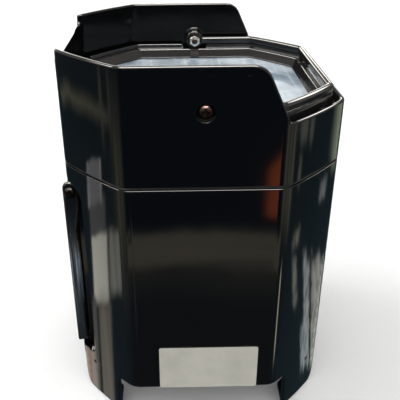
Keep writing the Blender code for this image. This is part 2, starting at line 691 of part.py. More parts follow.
def heat_sink():
    """A plate clamped between the two casings, with a comb of fins under it."""
    metal = material("aluminium", (0.72, 0.73, 0.75), 0.35, 1.0)
    plate = finish("heat_sink", extrusion(casing_outline(WALL_LOW + 0.4), *SINK_PLATE), metal)
    fins, pitch, thick, base, fin_half = 11, 9.6, 2.2, 163.0, 50.0
    edge = pitch * (fins - 1) / 2 + thick / 2
    comb = [(-edge, SINK_PLATE[0] + 1)]
    for i in range(fins):
        left = -edge + i * pitch
        comb += [(left, SINK_LOW), (left + thick, SINK_LOW)]
        if i < fins - 1:
            comb += [(left + thick, base), (left + pitch, base)]
    comb.append((edge, SINK_PLATE[0] + 1))
    join(plate, "fins", extrusion(comb, -fin_half, fin_half, "y"))


def light_engine():
    """The LED board on the heat sink, six emitters, and the lens plate with six collimators."""
    board_low = SINK_PLATE[1] + CLEAR
    board = turned([(BOARD_RADIUS, board_low), (BOARD_RADIUS, BOARD_TOP)], steps=32)
    finish("led_board", board, material("white_board", (0.8, 0.8, 0.78), 0.5))
    places = arc((0, 0), LENS_RING, 30, 330, LENS_COUNT - 1)
    low = BOARD_TOP + CLEAR
    dome = [(4.0, low), (4.0, low + 1.0), (2.8, low + 1.0), (2.2, low + 2.2), (0.9, low + 2.8)]
    lens_low, lens_high = LENS_PLATE
    cone = [(6.5, low + 3.5), (12.5, low + 10.5), (16.0, lens_low + 1)]
    lens_radius, leg_radius, leg_ring = BOARD_RADIUS + 1, 2.0, 52.0
    plate = turned([(lens_radius, lens_low), (lens_radius, lens_high)], steps=32)
    lenses = finish("lens_array", plate, material("clear_lens", (0.85, 0.88, 0.9), 0.1))
    for i, at in enumerate(places):
        emitter = turned(dome, at, steps=12)
        finish(f"led_emitter_{i + 1}", emitter, material("emitter", (0.9, 0.8, 0.3), 0.3))
        join(lenses, f"collimator_{i}", turned(cone, at, steps=14))
    for i, at in enumerate(arc((0, 0), leg_ring, 0, 240, 2)):
        join(lenses, f"lens_leg_{i}", turned([(leg_radius, low), (leg_radius, lens_low + 1)], at, steps=8))


def circuit_boards():
    """The LED driver on edge behind the battery, and the control board over the display and buttons."""
    thick, near = 1.6, 45.0
    far = near + thick
    board = extrusion(rectangle((0, 91.5), (96, 67)), near, far, "y")
    driver = finish("driver_board", board, circuit_board())
    parts = {
        "coil": ((-20, 78), (24, 22), 13),
        "heat_tab": ((22, 108), (30, 18), 10),
        "capacitor": ((24, 76), (16, 16), 12),
    }
    for name, (at, size, depth) in parts.items():
        join(driver, f"driver_{name}", extrusion(rectangle(at, size, 2), far - 0.6, far + depth, "y"))
    top = BOARD_LOW + thick
    board = extrusion(rectangle((0, -42), (84, 34)), BOARD_LOW, top)
    control = finish("control_board", board, circuit_board())
    for i, x in enumerate(BUTTON_X):
        key = extrusion(rectangle((x, BUTTON_Y), (6, 6)), BOARD_LOW - 1.7, BOARD_LOW + 0.4)
        join(control, f"key_{i}", key)
    join(control, "chip", extrusion(rectangle((14, -36), (12, 12)), top - 0.6, top + 1.6))


def rating_label():
    """A thin blank sticker low on the front wall, a little right of the middle."""
    middle, size = (3.4, 45.6), (61.4, 32.8)
    sticker = extrusion(rectangle(middle, size, 1.0), -HALF - 0.55, -HALF - CLEAR, "y")
    finish("rating_label", sticker, material("label_film", (0.72, 0.71, 0.66), 0.4))


def main():
    clear_scene()
    lower_shell()
    upper_shell()
    seam_gasket()
    bezel_frame()
    bezel_screws()
    window()
    window_clips()
    carry_handle()
    handle_pivots()
    kickstand()
    bottom_panel()
    panel_screws()
    foot_pads()
    display()
    menu_buttons()
    power_inlet()
    power_switch()
    vent_plug()
    battery()
    heat_sink()
    light_engine()
    circuit_boards()
    rating_label()


main()
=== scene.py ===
"""A battery LED uplight on a pale floor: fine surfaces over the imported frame, materials, light and camera.

Helper functions work in millimetres, in the object's own frame: the front is -Y, the left is -X, +Z is up.
"""

import math

import bpy
import numpy
from mathutils import Matrix, Vector
from mathutils.geometry import delaunay_2d_cdt

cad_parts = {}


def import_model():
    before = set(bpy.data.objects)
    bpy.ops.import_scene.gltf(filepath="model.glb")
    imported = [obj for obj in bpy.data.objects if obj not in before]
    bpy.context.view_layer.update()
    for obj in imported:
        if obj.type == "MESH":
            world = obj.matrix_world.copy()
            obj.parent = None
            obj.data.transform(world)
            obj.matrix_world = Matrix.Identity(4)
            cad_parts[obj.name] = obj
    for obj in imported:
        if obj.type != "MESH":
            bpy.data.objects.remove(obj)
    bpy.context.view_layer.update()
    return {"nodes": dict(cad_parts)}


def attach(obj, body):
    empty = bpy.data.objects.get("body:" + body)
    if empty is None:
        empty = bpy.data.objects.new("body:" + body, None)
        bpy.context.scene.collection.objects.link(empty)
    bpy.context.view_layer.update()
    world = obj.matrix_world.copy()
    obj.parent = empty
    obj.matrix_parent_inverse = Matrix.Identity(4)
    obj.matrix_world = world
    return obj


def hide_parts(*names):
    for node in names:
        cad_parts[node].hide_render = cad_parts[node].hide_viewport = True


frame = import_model()

MM = 0.001

# The casing's plan.
HALF = 81.0
FACE_HALF = 44.5
RIDGE_RADIUS = 13.0
CORNER_RADIUS = 260.0
CORNER_BOW = 1.1
RIDGE_STEPS = 8
BOW_STEPS = 14

# The casing's walls.
WALL_LOW = 3.0
WALL_UP = 2.6
FOOT_LOW = 0.6
FOOT_HEIGHT = 29.0
SEAM_LOW = 171.6
SEAM_HIGH = 173.2
RIM_RIGHT = 209.2
RIM_LEFT = 233.7
SHROUD_TOP = 239.8
SHROUD_SLOPE = (43.7, 29.8)  # where the shroud's slope ends and starts, to the right
DIP_SIDE = 43.5  # half the length of the dip in the left wall
LEDGE_TOP = 199.3
LEDGE_REACH = 4.6
EDGE = 0.7  # radius of the casing's moulded edges
SEAM_EDGE = 0.4
SEAM_LIP = 5.0  # how far the seam's flat edge reaches inwards
RIM_EDGE = 1.25
BEHIND_PANEL = 33.4  # the inner face is made up to here; the bottom panel hides the rest
ARCH_SIDE = 44.4  # where the feet begin on the left and right, from the middle
ARCH_FRONT = 55.0
SLOPE_TOP = 16.0  # the feet's sloping edge on the left and right
SLOPE_REACH = 7.0
DIMPLE_X = 71.9  # small blind holes in the cut corners, over the feet
DIMPLE_Z = 26.6
DIMPLE_RADIUS = 1.2
DIMPLE_DEPTH = 1.6

# Handle and pivots.
PIVOT_Z = 215.5
PIVOT = (0, PIVOT_Z)
SIDES = (("front", -1), ("back", 1))
BEZEL_SCREW = (67.0, 51.9, 205.3)
NOTCH_FLOOR = 208.3  # in the bezel's ridge, under the handle's eyes
BAR_Z = (212.5, 217.3)
BAR_INSET = (6.6, 11.0)
BORE = 2.25
EYE_RADIUS = 6.2
EYE_SPAN = (70.0, 75.8)
BOSS_FACE = 77.2
RECESS_FLOOR = 78.6
HEAD_BASE = 78.9
SCREW_END = 64.6
SHANK = 2.0  # the pivot screws' radius
NUT_SPAN = (65.3, 68.5)
NUT_FLATS = 7.0

# Kickstand.
BAIL_PIVOT = (-79.0, 153.0)
BAIL_OUTER_X = -83.7
BAIL_DEPTH = 7.0
BAIL_TOP = 159.7
BAIL_LOW = 38.0
BAIL_ARM = (42.2, 46.0)
BAIL_BAR = (-83.5, 38.5, -81.5, 46.5)
BAIL_BAR_HALF = 43.0
BAIL_SCREW_BASE = 46.3
GROOVE_WALL = 40.8
GROOVE_TOP = (82.5, 150.5, 11.3)  # centre X, centre Z and radius, X measured outwards
GROOVE_FOOT = (76.2, 39.0, 5.0)
GROOVE_LOW = 34.0

# Label.
LABEL = (-27.3, 29.2, 34.1, 62.0)
LABEL_FACE = -81.55

# Camera and floor.
SENSOR = 36.0
LENS = 53.415
LENS_SHIFT = (0.05415, -0.058925)  # in parts of the picture's width
CAMERA_TURNS = (0.0087, 0.4657, -0.0111)  # yaw, pitch and roll in radians
CAMERA_PLACE = (-16.6, -360.9, 320.9)
FLOOR_HALF = 6.0  # in metres


# Small vector helpers.


def unit(v):
    length = math.sqrt(sum(c * c for c in v)) or 1.0
    return tuple(c / length for c in v)


def mix(a, b, t):
    return tuple(p + (q - p) * t for p, q in zip(a, b))


def rounded(corners, closed=True, steps=5):
    """A path through (a, b, radius) corners as (a, b, na, nb) points, with the normal on the right of travel.

    A corner of radius 0 stays sharp and gives two points with different normals.
    """
    last = len(corners) - 1
    points = []
    for i, (a, b, radius) in enumerate(corners):
        before, after = corners[i - 1], corners[i + 1 if i < last else 0]
        d0 = unit((a - before[0], b - before[1]))
        d1 = unit((after[0] - a, after[1] - b))
        if not closed and i in (0, last):
            d0 = d1 = d0 if i else d1
        n0, n1 = (d0[1], -d0[0]), (d1[1], -d1[0])
        turn = math.atan2(d0[0] * d1[1] - d0[1] * d1[0], d0[0] * d1[0] + d0[1] * d1[1])
        if radius <= 0 or abs(turn) < 1e-3:
            points.append((a, b, *n0))
            if abs(turn) > 1e-3:
                points.append((a, b, *n1))
            continue
        reach = radius * math.tan(abs(turn) / 2)
        side = math.copysign(radius, turn)
        centre = (a - d0[0] * reach - side * n0[0], b - d0[1] * reach - side * n0[1])
        for k in range(steps + 1):
            c, s = math.cos(turn * k / steps), math.sin(turn * k / steps)
            n = (n0[0] * c - n0[1] * s, n0[0] * s + n0[1] * c)
            points.append((centre[0] + side * n[0], centre[1] + side * n[1], *n))
    return points


def end_rounds(radius, low, high, steps):
    """The rounded edges at both ends of an extrusion: (set back, distance, side normal, end normal)."""
    turns = [math.pi / 2 * k / steps for k in range(steps + 1)]
    quarter = [(math.sin(t), math.cos(t)) for t in turns]
    shape = [(radius * (1 - s), low + radius * (1 - c), s, -c) for s, c in quarter]
    return shape + [(radius * (1 - s), high - radius * (1 - c), s, c) for s, c in reversed(quarter)]


class Skin:
    """A mesh with exact normals. Vertices at one place with one normal are shared."""

    def __init__(self):
        self.points, self.normals, self.faces, self.index = [], [], [], {}

    def vertex(self, point, normal):
        normal = unit(normal)
        key = tuple(round(c, 3) for c in point) + tuple(round(c, 1) for c in normal)
        if key not in self.index:
            self.index[key] = len(self.points)
            self.points.append(tuple(point))
            self.normals.append(normal)
        return self.index[key]

    def face(self, corners):
        """Adds a face, turned so that it looks the way its normals do."""
        ring = [v for i, v in enumerate(corners) if v != corners[i - 1]]
        if len(set(ring)) < 3 or len(set(ring)) != len(ring):
            return
        p = [Vector(self.points[v]) for v in ring]
        area = sum((p[i - 1].cross(q) for i, q in enumerate(p)), Vector())
        look = sum((Vector(self.normals[v]) for v in ring), Vector())
        if area.length > 1e-7:
            self.faces.append(ring if area.dot(look) > 0 else ring[::-1])

    def ring(self, items):
        return [self.vertex(p, n) for p, n in items]

    def strip(self, low, high, closed):
        for i in range(len(low) if closed else len(low) - 1):
            j = (i + 1) % len(low)
            self.face([low[i], low[j], high[j], high[i]])

    def rings(self, rings, closed=True, joined=False):
        made = [self.ring(r) for r in rings]
        for low, high in zip(made, made[1:]):
            self.strip(low, high, closed)
        if joined:
            self.strip(made[-1], made[0], closed)

    def cap(self, items):
        self.face(self.ring(items))

    def build(self, node, surface, body="base", name=None):
        """Makes the piece that stands for a frame node."""
        name = name or f"{node}_fine"
        mesh = bpy.data.meshes.new(name)
        mesh.from_pydata([tuple(c * MM for c in p) for p in self.points], [], self.faces)
        mesh.validate(clean_customdata=False)
        mesh.shade_smooth()
        mesh.normals_split_custom_set_from_vertices(self.normals)
        mesh.materials.append(surface)
        obj = bpy.data.objects.new(name, mesh)
        bpy.context.scene.collection.objects.link(obj)
        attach(obj, body)
        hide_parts(node)
        return obj


# The plan, as rings at an inset and as one unrolled wall.


def corner_arcs(inset):
    """One cut corner as three arcs that meet smoothly: (centre, radius, start, end) in radians."""
    half = HALF - inset
    ridge = max(RIDGE_RADIUS - inset, 0.6)
    corner = CORNER_RADIUS - inset
    middle = (HALF + FACE_HALF) / math.sqrt(2) + CORNER_BOW - inset
    bow = (middle - corner) / math.sqrt(2)
    turn = math.acos((half - ridge - bow) / (corner - ridge))
    side = bow + (corner - ridge) * math.sin(turn)
    right = math.pi / 2
    return [
        ((half - ridge, side), ridge, 0.0, turn),
        ((bow, bow), corner, turn, right - turn),
        ((side, half - ridge), ridge, right - turn, right),
    ]


def turn_quarter(k, x, y):
    c, s = (1, 0, -1, 0)[k % 4], (0, 1, 0, -1)[k % 4]
    return c * x - s * y, s * x + c * y


def plan_ring(inset, stops=()):
    """The plan at an inset as (x, y, nx, ny), anticlockwise. stops are extra points along every flat side."""
    quarter = []
    for i, ((cx, cy), radius, start, end) in enumerate(corner_arcs(inset)):
        steps = BOW_STEPS if i == 1 else RIDGE_STEPS
        for k in range(1 if i else 0, steps + 1):
            a = start + (end - start) * k / steps
            quarter.append((cx + radius * math.cos(a), cy + radius * math.sin(a), math.cos(a), math.sin(a)))
    quarter += [(t, HALF - inset, 0.0, 1.0) for t in sorted(stops, reverse=True)]
    return [(*turn_quarter(k, x, y), *turn_quarter(k, nx, ny)) for k in range(4) for x, y, nx, ny in quarter]


class Wall:
    """The casing's outer surface, unrolled: s runs anticlockwise from the middle of the right side."""

    def __init__(self):
        arcs = corner_arcs(0)
        side = arcs[0][0][1]
        self.pieces = []
        s = side
        for centre, radius, start, end in arcs:
            self.pieces.append((s, (end - start) * radius, centre, radius, start))
            s += (end - start) * radius
        self.side = side
        self.quarter = s + side
        self.length = 4 * self.quarter
        self.lines = []
        for k in range(4):
            for i, (s0, length, *_rest) in enumerate(self.pieces):
                steps = BOW_STEPS if i == 1 else RIDGE_STEPS
                first = 1 if i else 0
                self.lines += [k * self.quarter + s0 + length * j / steps for j in range(first, steps + 1)]

    def local(self, s):
        """(x, y, nx, ny) in the first quarter."""
        if s <= self.side:
            return HALF, s, 1.0, 0.0
        for s0, length, (cx, cy), radius, start in self.pieces:
            if s <= s0 + length:
                a = start + (s - s0) / radius
                return cx + radius * math.cos(a), cy + radius * math.sin(a), math.cos(a), math.sin(a)
        return self.quarter - s, HALF, 0.0, 1.0

    def at(self, s):
        k, rest = divmod(s, self.quarter)
        x, y, nx, ny = self.local(rest)
        return (*turn_quarter(int(k), x, y), *turn_quarter(int(k), nx, ny))

    def find(self, x=None, y=None):
        """The s in the first quarter where the plan has this x or this y."""
        low, high = 0.0, self.quarter
        for _ in range(40):
            middle = (low + high) / 2
            px, py = self.local(middle)[:2]
            past = py > y if y is not None else px < x
            low, high = (low, middle) if past else (middle, high)
        return (low + high) / 2

    def place(self, s, z, inset=0.0):
        x, y, nx, ny = self.at(s)
        return x - nx * inset, y - ny * inset, z

    def direction(self, s, out, along, up):
        """A vector from its parts along the wall's normal, along s and along Z."""
        nx, ny = self.at(s)[2:]
        return nx * out - ny * along, ny * out + nx * along, up


wall = Wall()


def wall_path(corners, steps=5):
    """An open rounded path on the unrolled wall as (s, z) points, with one at each of the wall's bends."""
    bare = [(a, b) for a, b, _na, _nb in rounded(corners, closed=False, steps=steps)]
    points = []
    for (s0, z0), (s1, z1) in zip(bare, bare[1:]):
        if abs(s0 - s1) + abs(z0 - z1) < 1e-6:
            continue
        points.append((s0, z0))
        low, high = min(s0, s1), max(s0, s1)
        between = [s for s in wall.lines if low + 0.05 < s < high - 0.05]
        if s1 < s0:
            between.reverse()
        points += [(s, z0 + (z1 - z0) * (s - s0) / (s1 - s0)) for s in between]
    return [*points, bare[-1]]


def path_normals(points, closed=False):
    """For each point the unit normal on the right of travel, and the factor that keeps an offset's width.

    The ends of an open path are level.
    """
    result = []
    last = len(points) - 1
    for i, (a, b) in enumerate(points):
        before, after = points[i - 1], points[i + 1 if i < last else 0]
        if not closed and i in (0, last):
            before, after = (a - 1, b), (a + 1, b)
        d0 = unit((a - before[0], b - before[1]))
        d1 = unit((after[0] - a, after[1] - b))
        n = unit((d0[1] + d1[1], -d0[0] - d1[0]))
        result.append((n, 1 / max(0.5, n[0] * d0[1] - n[1] * d0[0])))
    return result


def edge_rings(path, out_side, thickness, radius, lip=0.0, steps=4):
    """Rings round a wall's edge, from its outer face to its inner face.

    out_side is 1 if the edge faces right of travel, and -1 if it faces left.
    """
    normals = path_normals(path)
    shape = end_rounds(radius, 0.0, thickness, steps)
    if lip:
        shape.append((lip, thickness, 0.0, 1.0))
    rings = []
    for back, inset, away, inwards in shape:
        ring = []
        for (s, z), (n, stretch) in zip(path, normals):
            m = (n[0] * out_side, n[1] * out_side)
            point = wall.place(s - m[0] * back * stretch, z - m[1] * back * stretch, inset)
            facing = wall.direction(s - m[0] * back * stretch, -inwards, m[0] * away, m[1] * away)
            ring.append((point, facing))
        rings.append(ring)
    return rings


def offset_path(path, distance):
    """The path moved to the right of travel by distance."""
    normals = path_normals(path)
    return [(s + n[0] * f * distance, z + n[1] * f * distance) for (s, z), (n, f) in zip(path, normals)]


def wall_face(skin, outline, holes, inset, facing, spacing=9.0):
    """Fills a region of the wall, less its holes, at one inset. facing is 1 outwards and -1 inwards."""
    points, edges = [], []
    for loop in [outline, *holes]:
        first = len(points)
        points += loop
        edges += [(first + i, first + (i + 1) % len(loop)) for i in range(len(loop))]
    for s in wall.lines:
        cuts = []
        for i, j in edges:
            (s0, z0), (s1, z1) = points[i], points[j]
            if (s0 < s) != (s1 < s):
                cuts.append(z0 + (z1 - z0) * (s - s0) / (s1 - s0))
        cuts.sort()
        for low, high in zip(cuts[::2], cuts[1::2]):
            rows = int((high - low - 3) / spacing) + 1
            if high - low > 3:
                points += [(s, low + 1.5 + (high - low - 3) * r / max(rows, 1)) for r in range(rows + 1)]
    flat = [Vector(p) for p in points]
    out_points, _edges, triangles, *_rest = delaunay_2d_cdt(flat, edges, [], 0, 1e-5)
    made = []
    for p in out_points:
        made.append(skin.vertex(wall.place(p.x, p.y, inset), wall.direction(p.x, facing, 0, 0)))
    start, end = (numpy.array([points[edge[i]] for edge in edges]) for i in (0, 1))
    for triangle in triangles:
        s, z = sum((out_points[v] for v in triangle), Vector((0, 0))) / 3
        spans = (start[:, 0] < s) != (end[:, 0] < s)
        (s0, z0), (s1, z1) = start[spans].T, end[spans].T
        above = z0 + (z1 - z0) * (s - s0) / (s1 - s0) > z
        if above.sum() % 2:
            skin.face([made[v] for v in triangle])


# General shapes.


def sweep(skin, profile, stops=(), keep=None, change=None):
    """Carries a closed (inset, z) profile round the plan. keep picks the stations of an open piece."""
    rings = []
    for inset, z, n_in, nz in profile:
        stations = plan_ring(inset, stops)
        if keep:
            stations = keep(stations)
        ring = []
        for x, y, nx, ny in stations:
            height, facing = (z, (-nx * n_in, -ny * n_in, nz))
            if change:
                height, facing = change(x, y, z, facing)
            ring.append(((x, y, height), facing))
        rings.append(ring)
    skin.rings(rings, closed=not keep, joined=True)
    if keep:
        for end, inner in ((0, 1), (-1, -2)):
            direction = Vector(rings[0][end][0]) - Vector(rings[0][inner][0])
            skin.cap([(ring[end][0], tuple(direction)) for ring in rings])


def axis_place(along, a, b, distance, centre=(0, 0)):
    """A point or vector from two cross-axis parts and one along the axis."""
    place = [centre[0] + a, centre[1] + b]
    place.insert("xyz".index(along), distance)
    return tuple(place)


def turned_ring(along, centre, side, angles, reach, distance, nr, nd):
    """One ring round an axis. reach is its radius at an angle; nr and nd are the normal's parts."""
    ring = []
    for t in angles:
        c, s, r = math.cos(t), math.sin(t), reach(t)
        point = axis_place(along, r * c, r * s, distance * side, centre)
        ring.append((point, axis_place(along, nr * c, nr * s, nd * side)))
    return ring


def lathe_rings(corners, centre, along="z", side=1, steps=48):
    """Turns an open profile of (radius, distance, edge radius) corners, listed from low to high distance."""
    angles = [2 * math.pi * k / steps for k in range(steps)]
    return [
        turned_ring(along, centre, side, angles, lambda _t, r=radius: r, distance, nr, nd)
        for radius, distance, nr, nd in rounded(corners, closed=False, steps=4)
    ]


def prism(skin, corners, low, high, along="z", edge=0.3, steps=3):
    """An extruded outline of (a, b, radius) corners, anticlockwise, with rounded end edges."""
    outline = rounded(corners, closed=True)
    rings = []
    for back, distance, out, away in end_rounds(edge, low, high, steps):
        ring = []
        for a, b, na, nb in outline:
            point = axis_place(along, a - na * back, b - nb * back, distance)
            ring.append((point, axis_place(along, na * out, nb * out, away)))
        rings.append(ring)
    skin.rings(rings)
    for ring, away in ((rings[0], -1), (rings[-1], 1)):
        skin.cap([(point, axis_place(along, 0, 0, away)) for point, _normal in ring])


def box_corners(a0, b0, a1, b1, radius):
    return [(a0, b0, radius), (a1, b0, radius), (a1, b1, radius), (a0, b1, radius)]


def screw_head(skin, centre, along, side, base, radius, height, deep=1.0, shank=None):
    """A pan head with a cross recess. base is where the head's underside lies, height goes outwards."""
    arm, half = radius * 0.55, radius * 0.13
    corner = math.atan2(half, arm)
    angles = sorted({math.radians(5 * k) for k in range(72)} | {
        q * math.pi / 2 + t for q in range(4) for t in (corner, math.pi / 2 - corner, math.pi / 4)
    })

    def cross(t, grown=0.0, part=1.0):
        t = t % (math.pi / 2)
        t = min(t, math.pi / 2 - t)
        return (arm / math.cos(t) if t < corner else half / math.sin(t)) * part + grown

    def ring(reach, *rest):
        return turned_ring(along, centre, side, angles, reach if callable(reach) else lambda _t: reach, *rest)

    profile = [(shank or radius * 0.5, base, 0), (radius, base, 0.15), (radius, base + height * 0.45, 0)]
    rings = [ring(*item) for item in rounded(profile, closed=False, steps=3)]
    for t in (math.radians(a) for a in (12, 26, 42, 58)):
        rise = base + height * (0.45 + 0.55 * math.sin(t))
        rings.append(ring(radius * math.cos(t), rise, math.cos(t) * 0.6, math.sin(t)))
    top = base + height * 0.97
    mouth = ring(lambda t: cross(t, 0.1), top, 0, 1)
    skin.rings([*rings, mouth])
    skin.rings([mouth, ring(cross, top - 0.1, -0.7, 0.7)])
    floor = ring(lambda t: cross(t, part=0.8), top - deep, -1, 0.1)
    skin.rings([ring(cross, top - 0.1, -1, 0), floor])
    skin.cap([(point, axis_place(along, 0, 0, side)) for point, _normal in floor])


# Materials.


def rgba(value):
    return (*value, 1.0) if isinstance(value, tuple) else (value, value, value, 1.0)


class Nodes:
    """A node tree and the few helpers that the surfaces and the world need."""

    def __init__(self, tree, coordinate):
        self.tree = tree
        self.place = tree.nodes.new("ShaderNodeTexCoord").outputs[coordinate]

    def add(self, kind, inputs=(), **settings):
        node = self.tree.nodes.new(kind)
        for key, value in settings.items():
            setattr(node, key, value)
        for socket, value in inputs:
            self.put(node.inputs[socket], value)
        return node

    def put(self, socket, value):
        """Links an output to the socket, or sets a number or colour on it."""
        if isinstance(value, bpy.types.NodeSocket):
            self.tree.links.new(value, socket)
        elif socket.type == "RGBA":
            socket.default_value = rgba(value)
        else:
            socket.default_value = value

    def stretched(self, scale, turn=(0, 0, 0)):
        turned = [math.radians(a) for a in turn]
        inputs = [("Vector", self.place), ("Scale", scale), ("Rotation", turned)]
        return self.add("ShaderNodeMapping", inputs).outputs["Vector"]

    def noise(self, scale, detail=3.0, roughness=0.55, distortion=0.0, vector=None):
        inputs = [
            ("Vector", vector or self.place), ("Scale", scale), ("Detail", detail), ("Roughness", roughness),
            ("Distortion", distortion),
        ]
        return self.add("ShaderNodeTexNoise", inputs).outputs["Fac"]

    def ramp(self, value, stops):
        """stops are (position, colour or grey)."""
        node = self.add("ShaderNodeValToRGB", [("Fac", value)])
        elements = node.color_ramp.elements
        while len(elements) < len(stops):
            elements.new(0.5)
        for element, (position, colour) in zip(elements, stops):
            element.position = position
            element.color = rgba(colour)
        return node.outputs["Color"]

    def fade(self, value, low, high):
        """A straight slope from 0 at low to 1 at high."""
        return self.ramp(value, [(low, 0.0), (high, 1.0)])

    def blend(self, factor, a, b):
        return self.add("ShaderNodeMix", [(0, factor), (6, a), (7, b)], data_type="RGBA").outputs[2]

    def math(self, operation, a, b=0.5):
        return self.add("ShaderNodeMath", [(0, a), (1, b)], operation=operation).outputs[0]

    def product(self, *masks):
        result = masks[0]
        for mask in masks[1:]:
            result = self.math("MULTIPLY", result, mask)
        return result

    def step(self, value, low, high):
        """A smooth step from 0 at low to 1 at high."""
        inputs = [("Value", value), ("From Min", low), ("From Max", high)]
        return self.add("ShaderNodeMapRange", inputs, interpolation_type="SMOOTHSTEP").outputs["Result"]


class Surface(Nodes):
    """A Principled material."""

    def __init__(self, name, colour, roughness, metallic=0.0, **sockets):
        self.material = bpy.data.materials.new(name)
        self.material.use_nodes = True
        super().__init__(self.material.node_tree, "Object")
        self.shader = self.tree.nodes["Principled BSDF"]
        self.feed("Base Color", colour)
        self.feed("Roughness", roughness)
        self.feed("Metallic", metallic)
        for socket, value in sockets.items():
            self.feed(socket.replace("_", " "), value)

    def feed(self, socket, value):
        self.put(self.shader.inputs[socket], value)

    def bump(self, height, distance, strength=1.0, after=None):
        inputs = [("Height", height), ("Distance", distance), ("Strength", strength)]
        node = self.add("ShaderNodeBump", inputs)
        if after:
            self.put(node.inputs["Normal"], after)
        self.feed("Normal", node.outputs["Normal"])
        return node.outputs["Normal"]

    def tones(self, value, low, high, first, last, socket="Roughness"):
        """Feeds a socket with a slope from one number or colour to another."""
        self.feed(socket, self.ramp(value, [(low, first), (high, last)]))


def gloss_plastic(name, colour, low=0.025, high=0.07, dust=0.5, shine=0.5):
    """Polished black moulding: soft ripples from the mould, wipe marks, fine scratches and settled dust."""
    s = Surface(name, colour, low, Specular_IOR_Level=shine, IOR=1.5)
    wipe = s.noise(14, 4, 0.6, 0.6, s.stretched((1.0, 1.0, 0.35)))
    smear = s.ramp(wipe, [(0.35, low), (0.75, high)])
    fine = s.noise(1.0, 2, 0.5, 0.0, s.stretched((2600, 2600, 90), (8, 5, 0)))
    scratch = s.fade(fine, 0.7, 0.78)
    speck = s.noise(1500, 1.0, 0.5)
    patch = s.noise(22, 3, 0.6)
    dusty = s.math("MULTIPLY", s.fade(speck, 0.76, 0.8), s.fade(patch, 0.5, 0.75))
    roughness = s.blend(s.math("MULTIPLY", scratch, 0.25), smear, 0.45)
    roughness = s.blend(dusty, roughness, 0.75)
    s.feed("Roughness", roughness)
    s.feed("Base Color", s.blend(s.math("MULTIPLY", dusty, dust), colour, (0.22, 0.21, 0.19)))
    ripple = s.bump(s.noise(28, 2, 0.4), 0.00002)
    s.bump(s.math("ADD", fine, speck), 0.000004, 0.5, after=ripple)
    return s.material


def grained_plastic(name, colour, roughness=0.45, grain=2200.0):
    """Fine spark-eroded grain, rubbed a little smoother in patches."""
    s = Surface(name, colour, roughness, Specular_IOR_Level=0.45)
    rub = s.noise(30, 4, 0.6)
    s.tones(rub, 0.3, 0.7, roughness - 0.08, roughness + 0.12)
    worn = tuple(min(1.0, c * 1.7 + 0.004) for c in colour)
    s.feed("Base Color", s.blend(s.fade(rub, 0.4, 0.8), colour, worn))
    s.bump(s.noise(grain, 2, 0.5), 0.00006, 0.6)
    return s.material


def mottled(name, colour, roughness, noise, tones, roughs=(), relief=(), fine=(), stretch=(), **sockets):
    """A surface whose colour, roughness and relief follow one noise. fine is another noise for the relief."""
    s = Surface(name, colour, roughness, **sockets)
    mottle = s.noise(*noise, vector=s.stretched(stretch) if stretch else None)
    s.feed("Base Color", s.ramp(mottle, tones))
    if roughs:
        s.feed("Roughness", s.ramp(mottle, roughs))
    if relief:
        s.bump(s.noise(*fine) if fine else mottle, *relief)
    return s.material


def steel_surface(name, colour, roughness, tarnish):
    """Turned or plated steel with a fine lay and a little tarnish."""
    s = Surface(name, colour, roughness, 1.0)
    stain = s.noise(240, 4, 0.65)
    s.tones(stain, 0.4, 0.7, colour, tarnish, "Base Color")
    lay = s.noise(1.0, 2, 0.5, 0.0, s.stretched((9000, 500, 500)))
    s.tones(stain, 0.3, 0.75, roughness - 0.08, roughness + 0.14)
    s.bump(lay, 0.000008, 0.6)
    return s.material


def window_surface():
    """A light-shaping window with a hard gloss on top. Its blue-grey clouds are a painted reflection of a
    clouded sky, crossed by pale straight streaks.
    """
    gloss = {"Specular_IOR_Level": 0.12, "Coat_Weight": 0.3, "Coat_Roughness": 0.03}
    s = Surface("window_painted_sky", (0.4, 0.48, 0.56), 0.3, **gloss)
    cloud = s.noise(30, 5, 0.6, 0.25)
    # painted reflection: blue-grey clouds in the base colour stand for a clouded sky mirrored in the window
    painted_sky = s.ramp(cloud, [
        (0.3, (0.16, 0.21, 0.26)), (0.45, (0.3, 0.37, 0.43)),
        (0.56, (0.42, 0.49, 0.55)), (0.7, (0.62, 0.69, 0.73)),
    ])
    smear = s.noise(1.0, 4, 0.6, 0.4, s.stretched((260, 9, 12), (0, 0, 38)))
    streak = s.fade(smear, 0.55, 0.72)
    s.feed("Base Color", s.blend(s.math("MULTIPLY", streak, 0.5), painted_sky, (0.7, 0.76, 0.8)))
    s.tones(cloud, 0.3, 0.7, 0.2, 0.4)
    s.bump(cloud, 0.0002, 0.25)
    return s.material


def board_surface(name, colour, track):
    """A circuit board: solder mask over copper tracks, with a fine glass-cloth texture."""
    s = Surface(name, colour, 0.35)
    grid = s.add("ShaderNodeTexBrick", [
        ("Vector", s.place), ("Color1", 0.0), ("Color2", 1.0), ("Mortar", 0.4), ("Scale", 220.0),
    ]).outputs["Color"]
    island = s.fade(s.noise(160, 2, 0.5), 0.48, 0.52)
    mask = s.blend(s.math("MULTIPLY", grid, 0.25), colour, track)
    s.feed("Base Color", s.blend(s.math("MULTIPLY", island, 0.6), mask, track))
    s.tones(s.noise(80, 3), 0.3, 0.7, 0.28, 0.45)
    s.bump(grid, 0.00003, 0.4)
    return s.material


def aluminium_surface():
    """Extruded aluminium with fine draw lines."""
    s = Surface("aluminium_drawn", (0.72, 0.73, 0.74), 0.35, 1.0)
    lines = s.noise(1.0, 3, 0.5, 0.0, s.stretched((40, 40, 2500)))
    stain = s.noise(70, 4, 0.6)
    s.tones(lines, 0.3, 0.7, 0.28, 0.46)
    s.tones(stain, 0.3, 0.7, (0.66, 0.67, 0.68), (0.78, 0.78, 0.78), "Base Color")
    s.bump(lines, 0.00002, 0.4)
    return s.material


